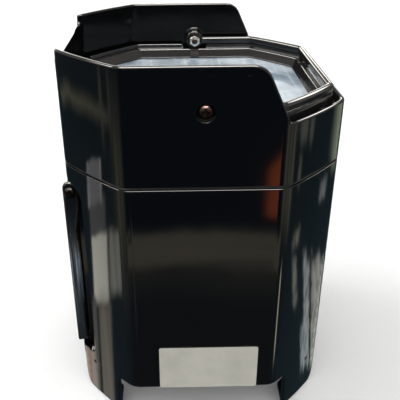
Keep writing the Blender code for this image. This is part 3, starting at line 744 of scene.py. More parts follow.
def painted_surface():
    """Glossy stoved paint on steel, drawn into faint lines along the arm, with a painted blue-grey sheen in
    streaks along the arm between 50 and 122 mm up.
    """
    s = Surface("bail_paint", (0.008, 0.009, 0.012), 0.1, Coat_Weight=0.3, Coat_Roughness=0.05)
    peel = s.bump(s.noise(420, 2, 0.5), 0.00002, 0.5)
    drawn = s.noise(1.0, 3, 0.55, 0.0, s.stretched((420, 420, 9)))
    along = s.noise(1.0, 2, 0.5, 0.0, s.stretched((60, 60, 14)))
    painted_sheen = s.math("MULTIPLY", s.fade(drawn, 0.5, 0.62), s.ramp(along, [(0.42, 0.1), (0.6, 1.0)]))
    height = s.add("ShaderNodeSeparateXYZ", [(0, s.place)]).outputs[2]
    sheen_heights = s.math("MULTIPLY", s.step(height, 0.05, 0.058), s.step(height, 0.122, 0.1))
    painted_sheen = s.math("MULTIPLY", painted_sheen, sheen_heights)
    # painted sheen: blue-grey streaks in the base colour stand for a reflection along the arm
    s.feed("Base Color", s.blend(painted_sheen, (0.005, 0.006, 0.007), (0.13, 0.16, 0.19)))
    s.feed("Roughness", s.blend(painted_sheen, 0.07, 0.3))
    s.bump(drawn, 0.00006, 0.5, after=peel)
    return s.material


casing_plastic = gloss_plastic("casing_gloss", (0.002, 0.0025, 0.003))
inner_plastic = gloss_plastic("casing_inner", (0.002, 0.0022, 0.0025), 0.08, 0.18, shine=0.16)
bezel_plastic = gloss_plastic("bezel_gloss", (0.009, 0.0085, 0.0085), 0.06, 0.16, dust=0.8)
handle_plastic = gloss_plastic("handle_gloss", (0.006, 0.0055, 0.0055), 0.05, 0.13)
panel_plastic = grained_plastic("panel_grain", (0.022, 0.022, 0.024))
nylon = grained_plastic("nylon_grain", (0.025, 0.025, 0.026), 0.4, 3200.0)
rubber = mottled(  # chalked here and there
    "rubber_fine", (0.018, 0.018, 0.019), 0.7, (60, 4, 0.6),
    [(0.45, (0.016, 0.016, 0.017)), (0.75, (0.045, 0.043, 0.04))], [(0.3, 0.6), (0.7, 0.85)],
    (0.00005, 0.5), (1400, 3, 0.6), Specular_IOR_Level=0.35, Sheen_Weight=0.08,
)
black_steel = steel_surface("black_oxide", (0.022, 0.021, 0.021), 0.36, (0.04, 0.032, 0.027))
zinc_steel = steel_surface("zinc_plate", (0.74, 0.73, 0.7), 0.22, (0.5, 0.46, 0.38))
screw_steel = steel_surface("screw_oxide", (0.06, 0.043, 0.036), 0.33, (0.035, 0.018, 0.013))
window_painted_sky = window_surface()
optic = mottled(  # moulded acrylic with a light haze
    "optic_acrylic", (0.86, 0.9, 0.92), 0.1, (90, 4, 0.6),
    [(0.3, (0.88, 0.92, 0.94)), (0.75, (0.74, 0.79, 0.82))], [(0.3, 0.05), (0.75, 0.2)],
    (0.00003, 0.3), IOR=1.49, Transmission_Weight=0.8,
)
green_board = board_surface("board_green", (0.012, 0.075, 0.03), (0.05, 0.16, 0.06))
white_board = board_surface("board_white", (0.72, 0.72, 0.7), (0.82, 0.82, 0.8))
phosphor = mottled(  # a yellow dome under clear silicone
    "phosphor", (0.78, 0.58, 0.1), 0.3, (1800, 2, 0.5), [(0.3, (0.7, 0.5, 0.07)), (0.7, (0.86, 0.68, 0.16))],
    Coat_Weight=1.0, Coat_Roughness=0.05,
)
aluminium = aluminium_surface()
wrap_film = mottled(  # heat-shrink film round the cells, wrinkled a little
    "wrap_film", (0.03, 0.07, 0.2), 0.25, (1.0, 4, 0.6, 1.0),
    [(0.3, (0.02, 0.05, 0.15)), (0.7, (0.04, 0.09, 0.24))], [(0.3, 0.18), (0.7, 0.4)], (0.0004, 0.5),
    stretch=(60, 60, 14), Specular_IOR_Level=0.5,
)
smoked_glass = mottled(  # with finger marks
    "smoked_glass", (0.008, 0.009, 0.012), 0.05, (110, 4, 0.6, 0.8),
    [(0.4, (0.006, 0.007, 0.01)), (0.8, (0.03, 0.03, 0.035))], [(0.4, 0.03), (0.8, 0.25)],
    Coat_Weight=0.5, Coat_Roughness=0.02,
)
label_film = mottled(  # blank satin film, yellowed a little
    "label_fine", (0.6, 0.59, 0.53), 0.35, (45, 4, 0.6),
    [(0.3, (0.36, 0.355, 0.31)), (0.55, (0.42, 0.415, 0.365)), (0.75, (0.46, 0.455, 0.4))],
    [(0.3, 0.28), (0.7, 0.42)], (0.00002, 0.4), (700, 2, 0.5), Specular_IOR_Level=0.4,
)
clip_steel = mottled(  # dull black-oxide spring steel, oiled, so that it hardly shines
    "clip_oxide", (0.008, 0.007, 0.007), 0.5, (500, 4, 0.6),
    [(0.4, (0.006, 0.0055, 0.0055)), (0.75, (0.02, 0.017, 0.015))], relief=(0.00002, 0.4),
    Specular_IOR_Level=0.08,
)
bail_paint = painted_surface()


# The casing.


def arch_quarter():
    """The casing's lower edge over one quarter, from a side's middle to the front's: (s, z, radius)."""
    side, front = wall.find(y=ARCH_SIDE), wall.find(x=ARCH_FRONT)
    path = [(0.0, FOOT_HEIGHT, 0), (side, FOOT_HEIGHT, 5.0), (side, SLOPE_TOP, 0)]
    last = math.asin(1 - FOOT_LOW / SLOPE_TOP)
    for t in [math.radians(a) for a in (12, 24, 36, 48, 60)] + [last]:
        z = FOOT_LOW if t == last else SLOPE_TOP * (1 - math.sin(t))
        path.append((wall.find(y=ARCH_SIDE + SLOPE_REACH * (1 - math.cos(t))), z, 1.0 if t == last else 0))
    return path + [(front, FOOT_LOW, 2.0), (front, FOOT_HEIGHT, 4.0), (wall.quarter, FOOT_HEIGHT, 0)]


def foot_path():
    """The casing's lower edge right round."""
    path, q = [], wall.quarter
    for k in range(4):
        part = [((k + 1) * q - s if k % 2 else k * q + s, z, r) for s, z, r in arch_quarter()]
        path += (part[::-1] if k % 2 else part)[min(k, 1):]
    return wall_path(path)


def groove_loop():
    """The groove's mouth as (s, z, profile normal) in the quarter's own frame, and its straight edge."""
    cx, cz, radius = GROOVE_TOP
    fx, fz, foot = GROOVE_FOOT
    items = []
    s_in, s_foot = GROOVE_WALL, wall.find(x=fx)
    inner = [s for s in wall.lines if s_in + 0.1 < s < s_foot - 0.1]
    items += [(s, GROOVE_LOW, (0, 1)) for s in [s_in, *inner, s_foot]]
    for k in range(1, 9):
        t = math.pi / 2 * k / 8
        c, s = math.cos(t), math.sin(t)
        items.append((wall.find(x=fx - foot * s), fz - foot * c, (s, c)))
    s_deep = items[-1][0]
    items += [(s_deep, fz + (cz - fz) * k / 4, (1, 0)) for k in range(1, 4)]
    end = math.acos((cx - HALF) / radius)
    for k in range(17):
        t = end * k / 16
        x = cx - radius * math.cos(t)
        at = wall.find(x=x) if k < 16 else wall.side
        items.append((at, cz + radius * math.sin(t), (math.cos(t), -math.sin(t))))
    top = items[-1][1]
    items.append((s_in, top, items[-1][2]))
    return items, [(s_in, top + (GROOVE_LOW - top) * k / 6) for k in range(1, 6)]


def add_groove(skin, side, radius=0.6, steps=4):
    """The kickstand's groove on one side of the left wall. Returns its hole in the outer face."""
    items, edge = groove_loop()
    cx, cz, arc = GROOVE_TOP

    def world(x, y, z):
        return -x, side * y, z

    inner, facing = [], []
    for s, z, (px, pz) in items:
        x, y = wall.local(s)[:2]
        if s > wall.side - 0.01:
            y = max(GROOVE_WALL, min(y, wall.local(wall.find(x=min(x, HALF - radius)))[1]) - radius)
        if x > HALF - radius:
            x = HALF - radius
            z = GROOVE_LOW if z < cz else cz + math.sqrt(max(0.0, arc * arc - (cx - x) ** 2))
        inner.append((x, y, z))
        facing.append((px, 0, pz))
    flat = [(x, GROOVE_WALL, z) for x, _y, z in inner]
    lowest, highest = inner[0][2], inner[-1][2]
    edge_inner = [(HALF - radius, GROOVE_WALL, min(highest, max(lowest, z))) for _s, z in edge]
    loop = [(s, z) for s, z, _normal in items] + edge
    hole, outer = [], []
    for (s, z), (n, stretch) in zip(loop, path_normals(loop, closed=True)):
        at, height = s + n[0] * radius * stretch, z + n[1] * radius * stretch
        hole.append((2 * wall.quarter - side * at, height))
        x, y, nx, ny = wall.local(at)
        outer.append(((x, y, height), (nx, ny, 0)))
    middle = [(*wall.local(s)[:2], z) for s, z in loop]
    last = zip(inner + edge_inner, facing + [(0, 1, 0)] * len(edge))
    stations = list(zip(outer, middle, last))
    rings = []
    for t in (k / steps for k in range(steps + 1)):
        ring = []
        for (a, na), c, (b, nb) in stations:
            point = mix(mix(a, c, t), mix(c, b, t), t)
            ring.append((world(*point), world(*unit(mix(na, nb, t)))))
        rings.append(ring)
    skin.rings(rings)
    wall_ring = [[(world(*p), world(*n)) for p, n in zip(ring, facing)] for ring in (inner, flat)]
    skin.rings(wall_ring, closed=False)
    skin.cap([(world(*p), world(0, 1, 0)) for p in flat + edge_inner])
    return hole if side < 0 else hole[::-1]


def level(z):
    """A level line right round the wall."""
    return [(s, z) for s in [0.0, *wall.lines, wall.length]]


def lower_casing():
    skin = Skin()
    feet = foot_path()
    top = level(SEAM_LOW)
    skin.rings(edge_rings(feet, 1, WALL_LOW, EDGE), closed=False)
    skin.rings(edge_rings(top, -1, WALL_LOW, SEAM_EDGE, SEAM_LIP), closed=False)
    holes = [add_groove(skin, side) for side in (-1, 1)]
    holes += [add_dimple(skin, k) for k in range(4)]
    outline = offset_path(feet, -EDGE) + offset_path(top, SEAM_EDGE)[::-1]
    wall_face(skin, outline, holes, 0.0, 1)
    wall_face(skin, offset_path(feet, -EDGE) + level(BEHIND_PANEL)[::-1], [], WALL_LOW, -1)
    for k in range(4):
        add_sole(skin, k)
    skin.build("lower_shell", casing_plastic, name="casing_lower")


def add_dimple(skin, k):
    """A small blind hole in a cut corner. Returns its hole in the outer face."""
    s = wall.find(x=DIMPLE_X)
    s = k * wall.quarter + (wall.quarter - s if k % 2 else s)
    corners = [
        (DIMPLE_RADIUS + 0.6, 0.0, 0), (DIMPLE_RADIUS, 0.0, 0.35), (DIMPLE_RADIUS - 0.1, DIMPLE_DEPTH, 0.5),
        (0.2, DIMPLE_DEPTH, 0),
    ]
    profile = rounded(corners, closed=False, steps=4)[1:]
    rings = []
    for radius, depth, n_out, n_deep in profile:
        ring = []
        for c, d in circle(0.0, 0.0, 1.0, False, 24):
            point = wall.place(s + radius * c, DIMPLE_Z + radius * d, depth)
            ring.append((point, wall.direction(s, n_deep, -n_out * c, -n_out * d)))
        rings.append(ring)
    skin.rings(rings)
    skin.cap(rings[-1])
    return circle(s, DIMPLE_Z, profile[0][0], False, 24)


def add_sole(skin, k):
    """The plate that closes a foot's underside."""
    s0, s1 = wall.find(y=51.0), wall.find(x=55.6)
    stations = [wall.local(s0 + (s1 - s0) * i / 8) for i in range(9)]
    outer = [(x - nx * 2.7, y - ny * 2.7) for x, y, nx, ny in stations]
    loop = outer + [(outer[-1][0], outer[-1][1] - 14.5), (outer[0][0] - 14.5, outer[0][1])]
    if k % 2:
        loop = [(y, x) for x, y in loop][::-1]
    loop = [turn_quarter(k, x, y) for x, y in loop]
    prism(skin, [(x, y, 0.3) for x, y in loop], 1.5, 4.5, "z", 0.2)


def rim_path():
    """The upper casing's top edge: the low rim on the right, the shroud, and the dip in its left wall."""
    q = wall.quarter
    slope_end, slope_start = (wall.find(x=x) for x in SHROUD_SLOPE)
    dip = wall.find(y=DIP_SIDE)
    half = [
        (slope_end, RIM_RIGHT, 1.2), (slope_start, SHROUD_TOP, 11.0),
        (2 * q - dip, SHROUD_TOP, 1.2), (2 * q - dip, RIM_LEFT, 2.5),
    ]
    path = [(0.0, RIM_RIGHT, 0), *half]
    path += [(4 * q - s, z, r) for s, z, r in reversed(half)] + [(wall.length, RIM_RIGHT, 0)]
    return wall_path(path, steps=8)


def circle(s, z, radius, mirrored, steps=48):
    turns = [2 * math.pi * k / steps for k in range(steps)]
    return [(s + (-1 if mirrored else 1) * radius * math.cos(t), z + radius * math.sin(t)) for t in turns]


def upper_casing():
    skin = Skin()
    rim, low = rim_path(), level(SEAM_HIGH)
    skin.rings(edge_rings(rim, -1, WALL_UP, RIM_EDGE, steps=6), closed=False)
    skin.rings(edge_rings(low, 1, WALL_UP, SEAM_EDGE, SEAM_LIP), closed=False)
    recess, boss = 5.2, 7.0
    holes, bosses = [], []
    for side in (-1, 1):
        s = (3 if side < 0 else 1) * wall.quarter
        holes.append(circle(s, PIVOT_Z, recess + 0.2, side > 0))
        bosses.append(circle(s, PIVOT_Z, boss + 0.4, side > 0))
        pocket = [
            (recess + 1, HALF, 0), (recess, HALF, 0.2), (recess, RECESS_FLOOR, 0.3),
            (BORE, RECESS_FLOOR, 0.2), (BORE, 77.8, 0),
        ]
        skin.rings(lathe_rings(pocket, PIVOT, "y", side)[1:])
        raised = [
            (BORE, 78.0, 0), (BORE, BOSS_FACE, 0.3), (boss, BOSS_FACE, 0.4), (boss, HALF - WALL_UP, 0.4),
            (boss + 1, HALF - WALL_UP, 0),
        ]
        skin.rings(lathe_rings(raised, PIVOT, "y", side)[:-1])
    outline = offset_path(low, -SEAM_EDGE) + offset_path(rim, RIM_EDGE)[::-1]
    wall_face(skin, outline, holes, 0.0, 1)
    wall_face(skin, level(LEDGE_TOP) + offset_path(rim, RIM_EDGE)[::-1], bosses, WALL_UP, -1)
    insets = (WALL_UP, LEDGE_REACH)
    ledge = [[(wall.place(s, z, inset), (0, 0, 1)) for s, z in level(LEDGE_TOP)] for inset in insets]
    skin.rings(ledge, closed=False)
    mesh = skin.build("upper_shell", casing_plastic, name="casing_upper").data
    mesh.materials.append(inner_plastic)
    for face in mesh.polygons:
        outward = face.normal.x * face.center.x + face.normal.y * face.center.y
        face.material_index = int(outward < 0 and abs(face.normal.z) < 0.3)


lower_casing()
upper_casing()


# The bezel, the handle and their fasteners.


def bezel():
    skin = Skin()
    profile = rounded([
        (10.9, 199.7, 0.1), (10.9, 203.4, 0.1), (15.3, 203.4, 0.08), (15.3, 203.95, 0.15),
        (14.6, 203.95, 0.1), (11.9, 209.7, 1.1),
        (9.9, 208.7, 0.4), (8.7, 208.7, 0.3), (8.5, 212.0, 0.75), (6.9, 212.0, 0.75), (6.0, 205.2, 0.5),
        (3.1, 205.2, 0.3), (3.1, 199.7, 0.1),
    ], steps=6)
    notch = (8.0, 8.4, 8.7, 9.0, 9.4)

    def dip(x, y, z, facing):
        """Lowers the ridge where the handle's eyes stand."""
        if abs(x) > notch[-1] or abs(y) < EYE_SPAN[0] - 0.4:
            return z, facing
        t = max(0.0, min(1.0, (abs(x) - notch[0]) / (notch[-1] - notch[0])))
        limit = NOTCH_FLOOR + 3.9 * t * t * (3 - 2 * t)
        return (limit, (0, 0, 1)) if z > limit else (z, facing)

    stops = [sign * x for sign in (-1, 1) for x in notch]
    sweep(skin, profile, stops, change=dip)
    skin.build("bezel_frame", bezel_plastic, name="bezel_fine")
    for end, sy in SIDES:
        for hand, sx in (("left", -1), ("right", 1)):
            head = Skin()
            place = (sx * BEZEL_SCREW[0], sy * BEZEL_SCREW[1])
            screw_head(head, place, "z", 1, BEZEL_SCREW[2], 2.1, 1.7, deep=0.8)
            head.build(f"bezel_screw_{end}_{hand}", black_steel)


def handle():
    skin = Skin()
    (low, high), (outer, inner) = BAR_Z, BAR_INSET
    profile = [(outer, low, 0.9), (inner, low, 0.9), (inner, high, 1.9), (outer, high, 2.4)]

    def right_half(stations):
        quarter = len(stations) // 4
        return stations[3 * quarter - 1:] + stations[:quarter]

    sweep(skin, rounded(profile, steps=6), (0.0,), keep=right_half)
    near, far = EYE_SPAN
    eye = [
        (BORE, near + 2, 0), (BORE, near, 0.3), (EYE_RADIUS, near, 0.9), (EYE_RADIUS, far, 0.9),
        (BORE, far, 0.3), (BORE, far - 1.8, 0),
    ]
    for _name, side in SIDES:
        skin.rings(lathe_rings(eye, PIVOT, "y", side, 64))
    skin.build("carry_handle", handle_plastic, "handle", "handle_fine")


def pivots():
    for name, side in SIDES:
        screw = Skin()
        screw_head(screw, PIVOT, "y", side, HEAD_BASE, 4.0, 2.1, deep=1.3, shank=SHANK)
        end = SCREW_END
        shank = [(0.3, end, 0), (1.4, end, 0.1), (SHANK, end + 0.6, 0.1), (SHANK, HEAD_BASE, 0)]
        rings = lathe_rings(shank, PIVOT, "y", side)
        screw.rings(rings)
        screw.cap(rings[0])
        screw.build(f"handle_screw_{name}", screw_steel)
        nut = Skin()
        reach = NUT_FLATS / math.sqrt(3)
        angles = [math.radians(a) for a in range(30, 360, 60)]
        corners = [(reach * math.cos(a), PIVOT_Z + reach * math.sin(a), 0.25) for a in angles]
        low, high = sorted((side * NUT_SPAN[0], side * NUT_SPAN[1]))
        prism(nut, corners, low, high, "y", 0.4)
        nut.build(f"handle_nut_{name}", zinc_steel)
        clip = Skin()
        tail = [
            (69.6, 214.0, 0), (69.6, 210.2, 0.3), (69.15, 209.95, 0.2), (65.9, 203.8, 0.1),
            (65.2, 204.15, 0.1), (68.3, 210.2, 0.3), (68.8, 211.2, 0.3), (68.8, 214.0, 0),
        ]
        outline = [(side * y, z, r) for y, z, r in tail]
        prism(clip, outline if side < 0 else outline[::-1], -2.9, 2.9, "x", 0.15)
        plate = [(2.0, 68.8, 0), (5.3, 68.8, 0.2), (5.3, 69.6, 0.2), (2.0, 69.6, 0)]
        clip.rings(lathe_rings(plate, PIVOT, "y", side))
        clip.build(f"window_clip_{name}", clip_steel)


bezel()
handle()
pivots()


# The kickstand and the label.


def kickstand():
    skin = Skin()
    x0, x1, back = BAIL_OUTER_X, BAIL_OUTER_X + BAIL_DEPTH, -74.3
    arm = [
        (back, BAIL_TOP, 4.6), (x0, BAIL_TOP, 4.6), (x0, BAIL_LOW, 0.5), (x1, BAIL_LOW, 2.5),
        (x1, 128.0, 8.0), (back, 143.0, 8.0),
    ]
    for side in (-1, 1):
        near, far = sorted((side * BAIL_ARM[0], side * BAIL_ARM[1]))
        prism(skin, arm, near, far, "y", 1.5, steps=6)
    prism(skin, box_corners(*BAIL_BAR, 0.7), -BAIL_BAR_HALF, BAIL_BAR_HALF, "y", 0.1)
    skin.build("kickstand_bail", bail_paint, "kickstand", "kickstand_fine")
    for name, side in SIDES:
        screw = Skin()
        screw_head(screw, BAIL_PIVOT, "y", side, BAIL_SCREW_BASE, 3.6, 1.3, deep=0.8)
        screw.build(f"kickstand_screw_{name}", black_steel)


def label():
    skin = Skin()
    prism(skin, box_corners(*LABEL, 1.2), LABEL_FACE, LABEL_FACE + 0.25, "y", 0.08)
    skin.build("rating_label", label_film, name="label_fine")


kickstand()
label()


# The pieces kept from the frame.


def dress(nodes, surface, bevel=0.0):
    """Gives frame nodes a fine material, and small ones a softened edge."""
    for name in nodes:
        obj = frame["nodes"][name]
        for slot in obj.material_slots:
            slot.link = "OBJECT"
            slot.material = surface
        if bevel:
            modifier = obj.modifiers.new("soft_edges", "BEVEL")
            modifier.width = bevel * MM
            modifier.segments = 2
            modifier.limit_method = "ANGLE"
            modifier.angle_limit = math.radians(40)
            modifier.harden_normals = True


def starting(*prefixes):
    return [name for name in frame["nodes"] if name.startswith(prefixes)]


PANEL_NYLON = ["power_inlet", "switch_housing", "vent_plug", *starting("handle_washer", "kickstand_washer")]
PANEL_RUBBER = ["switch_rocker", "seam_gasket", "window_gasket", *starting("menu_button", "foot_pad")]

dress(["bottom_panel"], panel_plastic, 0.3)
dress(PANEL_NYLON, nylon, 0.25)
for kept, finish in [
    (PANEL_RUBBER, rubber), (starting("panel_screw"), black_steel), (["window_glass"], window_painted_sky),
    (["lens_array"], optic), (["led_board"], white_board), (starting("led_emitter"), phosphor),
    (["heat_sink"], aluminium), (["control_board", "driver_board"], green_board),
    (["battery_pack"], wrap_film), (["battery_bracket"], zinc_steel),
    (["display_window", "display_module"], smoked_glass),
]:
    dress(kept, finish)


# Camera, floor and light.


class Room(Nodes):
    """The world: even white light for the object, and a room that only its reflections show.

    A direction is a turn, 0 to the front (-Y) and 90 to the right (+X), and a rise over the horizon,
    both in degrees.
    """

    def __init__(self, name):
        self.world = bpy.data.worlds.new(name)
        self.world.use_nodes = True
        super().__init__(self.world.node_tree, "Generated")
        x, y, z = self.add("ShaderNodeSeparateXYZ", [(0, self.place)]).outputs
        self.turn = self.math("DEGREES", self.math("ARCTAN2", x, self.math("MULTIPLY", y, -1.0)))
        self.rise = self.math("DEGREES", self.math("ARCSINE", z))
        self.streaks = self.field(0.55, 0.02)
        self.ragged = self.field(0.8, 0.12)

    def field(self, across, up, detail=4.0):
        """A noise with its own scale across and up the room."""
        scaled = [(0, self.math("MULTIPLY", self.turn, across)), (1, self.math("MULTIPLY", self.rise, up))]
        return self.noise(1.0, detail, 0.6, 0.0, self.add("ShaderNodeCombineXYZ", scaled).outputs[0])

    def shaken(self, value, noise, amount):
        """The value, moved either way by half the amount at most."""
        return self.math("ADD", value, self.math("MULTIPLY", self.math("SUBTRACT", noise), amount))

    def sheared(self, value, other, zero, slope):
        """The value, moved by slope times how far the other lies past zero."""
        return self.math("ADD", value, self.math("MULTIPLY", self.math("ADD", other, -zero), slope))

    def reach(self, value, centre, half, soft):
        """A band: 1 within half of the centre, with a soft edge."""
        away = self.math("ABSOLUTE", self.math("SUBTRACT", value, centre))
        return self.step(away, half + soft, half - soft)

    def lay(self, shade, *masks):
        """Covers the room with a colour where the masks are 1."""
        self.colour = self.blend(self.product(*masks), self.colour, shade)

    def patches(self, across, up, items):
        """Lays soft-edged boxes: (centre, half size, softness, colour), and a texture where one is needed."""
        for at, half, soft, shade, *texture in items:
            masks = [self.reach(value, at[i], half[i], soft[i]) for i, value in enumerate((across, up))]
            self.lay(shade, *masks, *texture)

    def finish(self, strength):
        background = self.tree.nodes["Background"]
        self.put(background.inputs["Color"], (1.0, 1.0, 1.0))
        self.put(background.inputs["Strength"], strength)
        mirrored = self.add("ShaderNodeBackground", [("Color", self.colour)])
        glossy = self.add("ShaderNodeLightPath").outputs["Is Glossy Ray"]
        inputs = [(0, glossy), (1, background.outputs[0]), (2, mirrored.outputs[0])]
        shown = self.add("ShaderNodeMixShader", inputs)
        self.put(self.tree.nodes["World Output"].inputs["Surface"], shown.outputs[0])
        bpy.context.scene.world = self.world


def camera():
    """The view from a little above the front."""
    data = bpy.data.cameras.new("camera")
    data.sensor_width = SENSOR
    data.lens = LENS
    data.shift_x, data.shift_y = LENS_SHIFT
    data.clip_start, data.clip_end = 0.01, 50.0
    yaw, pitch, roll = CAMERA_TURNS
    forward = Vector((math.sin(yaw) * math.cos(pitch), math.cos(yaw) * math.cos(pitch), -math.sin(pitch)))
    right = Vector((math.cos(yaw), -math.sin(yaw), 0))
    up = right.cross(forward)
    x = right * math.cos(roll) + up * math.sin(roll)
    y = up * math.cos(roll) - right * math.sin(roll)
    obj = bpy.data.objects.new("camera", data)
    bpy.context.scene.collection.objects.link(obj)
    turn = Matrix((x, y, -forward)).transposed().to_4x4()
    obj.matrix_world = Matrix.Translation(Vector(CAMERA_PLACE) * MM) @ turn
    bpy.context.scene.camera = obj


def floor():
    mesh = bpy.data.meshes.new("floor")
    corners = [(FLOOR_HALF * x, FLOOR_HALF * y, 0) for x, y in ((-1, -1), (1, -1), (1, 1), (-1, 1))]
    mesh.from_pydata(corners, [], [(0, 1, 2, 3)])
    surface = Surface("floor_white", (0.86, 0.86, 0.86), 0.6, Specular_IOR_Level=0.2)
    mesh.materials.append(surface.material)
    obj = bpy.data.objects.new("floor", mesh)
    bpy.context.scene.collection.objects.link(obj)
    obj.visible_glossy = False


def room_front(room, soft_rise):
    """The floor before the object and the wall over it, with a pale strip, its tail and a red sail shape."""
    turn, rise = room.turn, room.rise
    room.patches(turn, rise, [
        ((0, -17), (42, 14.5), (6, 0.6), (0.006, 0.012, 0.03)),
        ((0, -62), (40, 29), (5, 2), (0.05, 0.05, 0.055)),
    ])
    front = room.reach(turn, 0, 40, 5)
    tail = room.product(front, room.step(soft_rise, -39.5, -35.0), room.step(soft_rise, -32.2, -34.0))
    room.lay((0.4, 0.38, 0.3), tail, 0.3)
    strip = room.product(front, room.reach(soft_rise, -33.6, 1.6, 0.5))
    room.lay((0.62, 0.56, 0.4), strip, room.step(room.field(0.03, 0.9), 0.3, 0.5))
    sail_edge = room.math("MAXIMUM", room.sheared(12.9, rise, -22.7, 0.88), 10.2)
    past_edge = room.step(room.math("SUBTRACT", turn, sail_edge), -0.35, 0.35)
    room.lay((1.6, 0.33, 0.1), past_edge, room.step(turn, 13.6, 13.0), room.reach(rise, -26.0, 4.3, 0.4))


def room_left(room, soft_rise):
    """A pale block that leans, a window's edge over it, haze, and a brown board under it."""
    turn, rise = room.turn, room.rise
    grain, veil = room.step(room.streaks, 0.2, 0.75), room.step(room.streaks, -0.1, 0.7)
    leaning = room.shaken(room.sheared(turn, rise, -35.0, -0.24), room.ragged, 0.8)
    room.patches(leaning, soft_rise, [
        ((-97.6, -34.9), (4.1, 3.3), (0.4, 0.5), (2.7, 2.65, 2.3)),
        ((-89.2, -34.4), (3.2, 3.0), (0.9, 0.8), (1.9, 1.9, 1.65), grain),
        ((-98.0, -30.0), (4.0, 1.7), (0.8, 0.4), (0.42, 0.42, 0.42)),
        ((-99.0, -27.0), (3.5, 2.1), (0.4, 0.3), (0.8, 0.82, 0.82)),
        ((-102.1, -27.0), (0.35, 2.2), (0.3, 0.3), (2.2, 2.2, 2.1), grain),
        ((-95.9, -27.0), (0.35, 2.2), (0.3, 0.3), (2.2, 2.2, 2.1), grain),
    ])
    falling = room.sheared(room.shaken(rise, room.field(0.25, 0.05, 2.0), 2.6), turn, -100.0, 0.118)
    room.patches(turn, falling, [((-100, -19.2), (12, 0.5), (2.5, 1.3), (0.55, 0.52, 0.36))])
    room.patches(turn, rise, [
        ((-91.0, -19.5), (0.5, 3.5), (0.5, 2.5), (0.38, 0.34, 0.25)),
        ((-87.5, -19.5), (0.3, 3.5), (0.5, 2.5), (0.38, 0.34, 0.25)),
    ])
    room.patches(leaning, soft_rise, [
        ((-96.0, -43.3), (3.4, 5.3), (0.9, 1.5), (0.95, 0.85, 0.72), veil),
        ((-102.0, -42.5), (1.2, 4.5), (0.6, 1.0), (0.5, 0.47, 0.42)),
    ])
    board = ((-121.0, -44.0), (16.0, 2.6), (1.2, 0.6), (1.5, 1.3, 1.12), room.step(room.streaks, -0.1, 0.6))
    room.patches(turn, rise, [board])
    mark = ((-106.8, -43.6), (0.4, 1.5), (0.4, 0.4), (1.4, 0.55, 0.33), room.step(room.streaks, 0.1, 0.6))
    room.patches(leaning, soft_rise, [mark])
    room.patches(turn, rise, [((-12.5, -36.0), (1.7, 5.0), (0.8, 2.5), (0.3, 0.38, 0.46))])


def room_right(room, rough_turn, rough_rise):
    """Blinds with torn edges, a green-white door, and soft glows for the ridges."""
    torn = room.step(room.field(1.6, 0.45), 0.36, 0.54)
    broken, faint = room.step(room.streaks, 0.42, 0.56), room.step(room.streaks, 0.3, 0.6)
    leaning = room.shaken(room.sheared(room.turn, room.rise, -38.5, 0.8), room.field(0.3, 1.2), 2.4)
    room.patches(rough_turn, rough_rise, [((-62, -28), (22, 8), (8, 6), (0.55, 0.5, 0.36), faint)])
    room.patches(leaning, rough_rise, [
        ((100.8, -35.8), (1.3, 2.2), (0.3, 0.7), (1.1, 1.1, 1.0), torn),
        ((108.0, -38.6), (1.9, 4.6), (0.3, 0.7), (1.6, 1.7, 1.7), torn),
        ((107.0, -41.6), (3.2, 1.7), (0.3, 0.7), (1.3, 1.45, 1.5), torn),
        ((121.5, -38.5), (10.0, 4.8), (0.3, 0.7), (1.5, 1.5, 1.35), torn),
    ])
    room.patches(rough_turn, rough_rise, [
        ((110, -27), (1.8, 1.0), (0.5, 0.4), (0.8, 0.85, 0.85), torn),
        ((97.5, -31.8), (1.5, 0.7), (0.4, 0.4), (1.2, 1.1, 0.9), torn),
        ((96, -25), (0.5, 1.6), (0.3, 0.5), (0.8, 0.75, 0.6), torn),
        ((118.5, -21), (5.0, 3.8), (3.0, 1.2), (1.0, 1.15, 0.8)),
        ((96, -21), (6, 1.5), (3, 1), (0.5, 0.53, 0.45), broken),
        ((60, -24), (26, 7), (8, 3), (0.7, 0.66, 0.5), faint),
        ((58, -39), (3, 4), (1, 1), (4.0, 3.6, 2.8)),
    ])


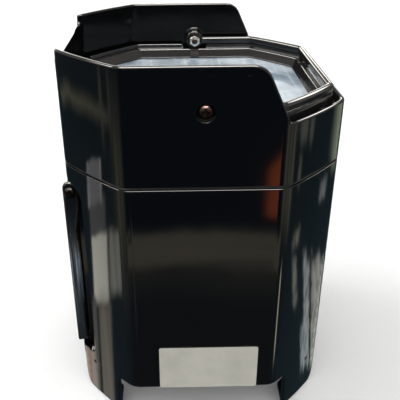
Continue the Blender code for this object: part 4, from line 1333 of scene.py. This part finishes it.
def room_overhead(room, behind):
    """A dark wall on the right and behind, the ceiling, three lamps, and a pale sky low behind."""
    turn, rise = room.turn, room.rise
    room.patches(turn, rise, [((136, 14), (27, 30), (3, 4), (0.3, 0.29, 0.27))])
    room.lay((0.4, 0.39, 0.37), room.step(behind, 112.0, 124.0), room.reach(rise, 32.0, 14.0, 2.0))
    room.lay((5.0, 4.9, 4.7), room.step(rise, 64.0, 72.0))
    room.patches(turn, rise, [
        ((0, 57), (45, 9), (5, 2), (44.0, 42.5, 40.0)),
        ((-98, 43), (14, 8), (4, 2), (26.0, 25.0, 23.5)),
        ((134, 36), (16, 5), (4, 1.5), (15.0, 14.5, 13.8)),
    ])
    tones = [(0.3, (4.0, 3.9, 3.7)), (0.45, (6.0, 5.9, 5.5)), (0.7, (9.0, 8.8, 8.3))]
    clouds = room.ramp(room.noise(7.0, 5, 0.62, 0.5), tones)
    sky = room.math("ADD", room.step(turn, 167.0, 170.0), room.step(turn, -116.0, -124.0))
    room.lay(clouds, sky, room.reach(rise, 12.0, 5.6, 1.0))
    room.patches(turn, rise, [((164.0, 12.0), (6.0, 3.4), (1.5, 0.5), (7.0, 6.8, 6.4))])


def world():
    room = Room("studio")
    levels = [
        (-90, (0.05, 0.06, 0.07)), (-40, (0.045, 0.075, 0.09)), (-20, (0.03, 0.055, 0.065)),
        (-9, (0.05, 0.06, 0.065)), (-2, (0.35, 0.36, 0.36)), (3, (0.5, 0.48, 0.45)), (12, (1.2, 1.15, 1.05)),
        (30, (0.6, 0.56, 0.52)), (60, (0.8, 0.8, 0.8)),
    ]
    height = room.math("ADD", room.math("DIVIDE", room.rise, 180.0))
    room.colour = room.ramp(height, [((rise + 90) / 180, shade) for rise, shade in levels])
    soft_rise = room.shaken(room.rise, room.field(0.12, 0.2), 2.5)
    room_front(room, soft_rise)
    room_left(room, soft_rise)
    behind = room.math("ABSOLUTE", room.turn)
    room.lay((0.3, 0.26, 0.22), room.step(behind, 171.0, 175.0), room.reach(room.rise, -34.0, 9.5, 2.5))
    room_right(room, room.shaken(room.turn, room.ragged, 1.6), room.shaken(room.rise, room.streaks, 5.0))
    room_overhead(room, behind)
    room.finish(1.0)


def area(name, place, target, size, power):
    data = bpy.data.lights.new(name, "AREA")
    data.shape = "RECTANGLE"
    data.size, data.size_y = size
    data.energy = power
    obj = bpy.data.objects.new(name, data)
    bpy.context.scene.collection.objects.link(obj)
    obj.location = place
    obj.rotation_euler = (Vector(target) - Vector(place)).to_track_quat("-Z", "Y").to_euler()
    obj.visible_glossy = False


camera()
floor()
world()
area("key", (-1.3, 0.2, 1.9), (0, 0, 0.1), (1.0, 1.0), 22)
bpy.context.scene.view_settings.view_transform = "Standard"
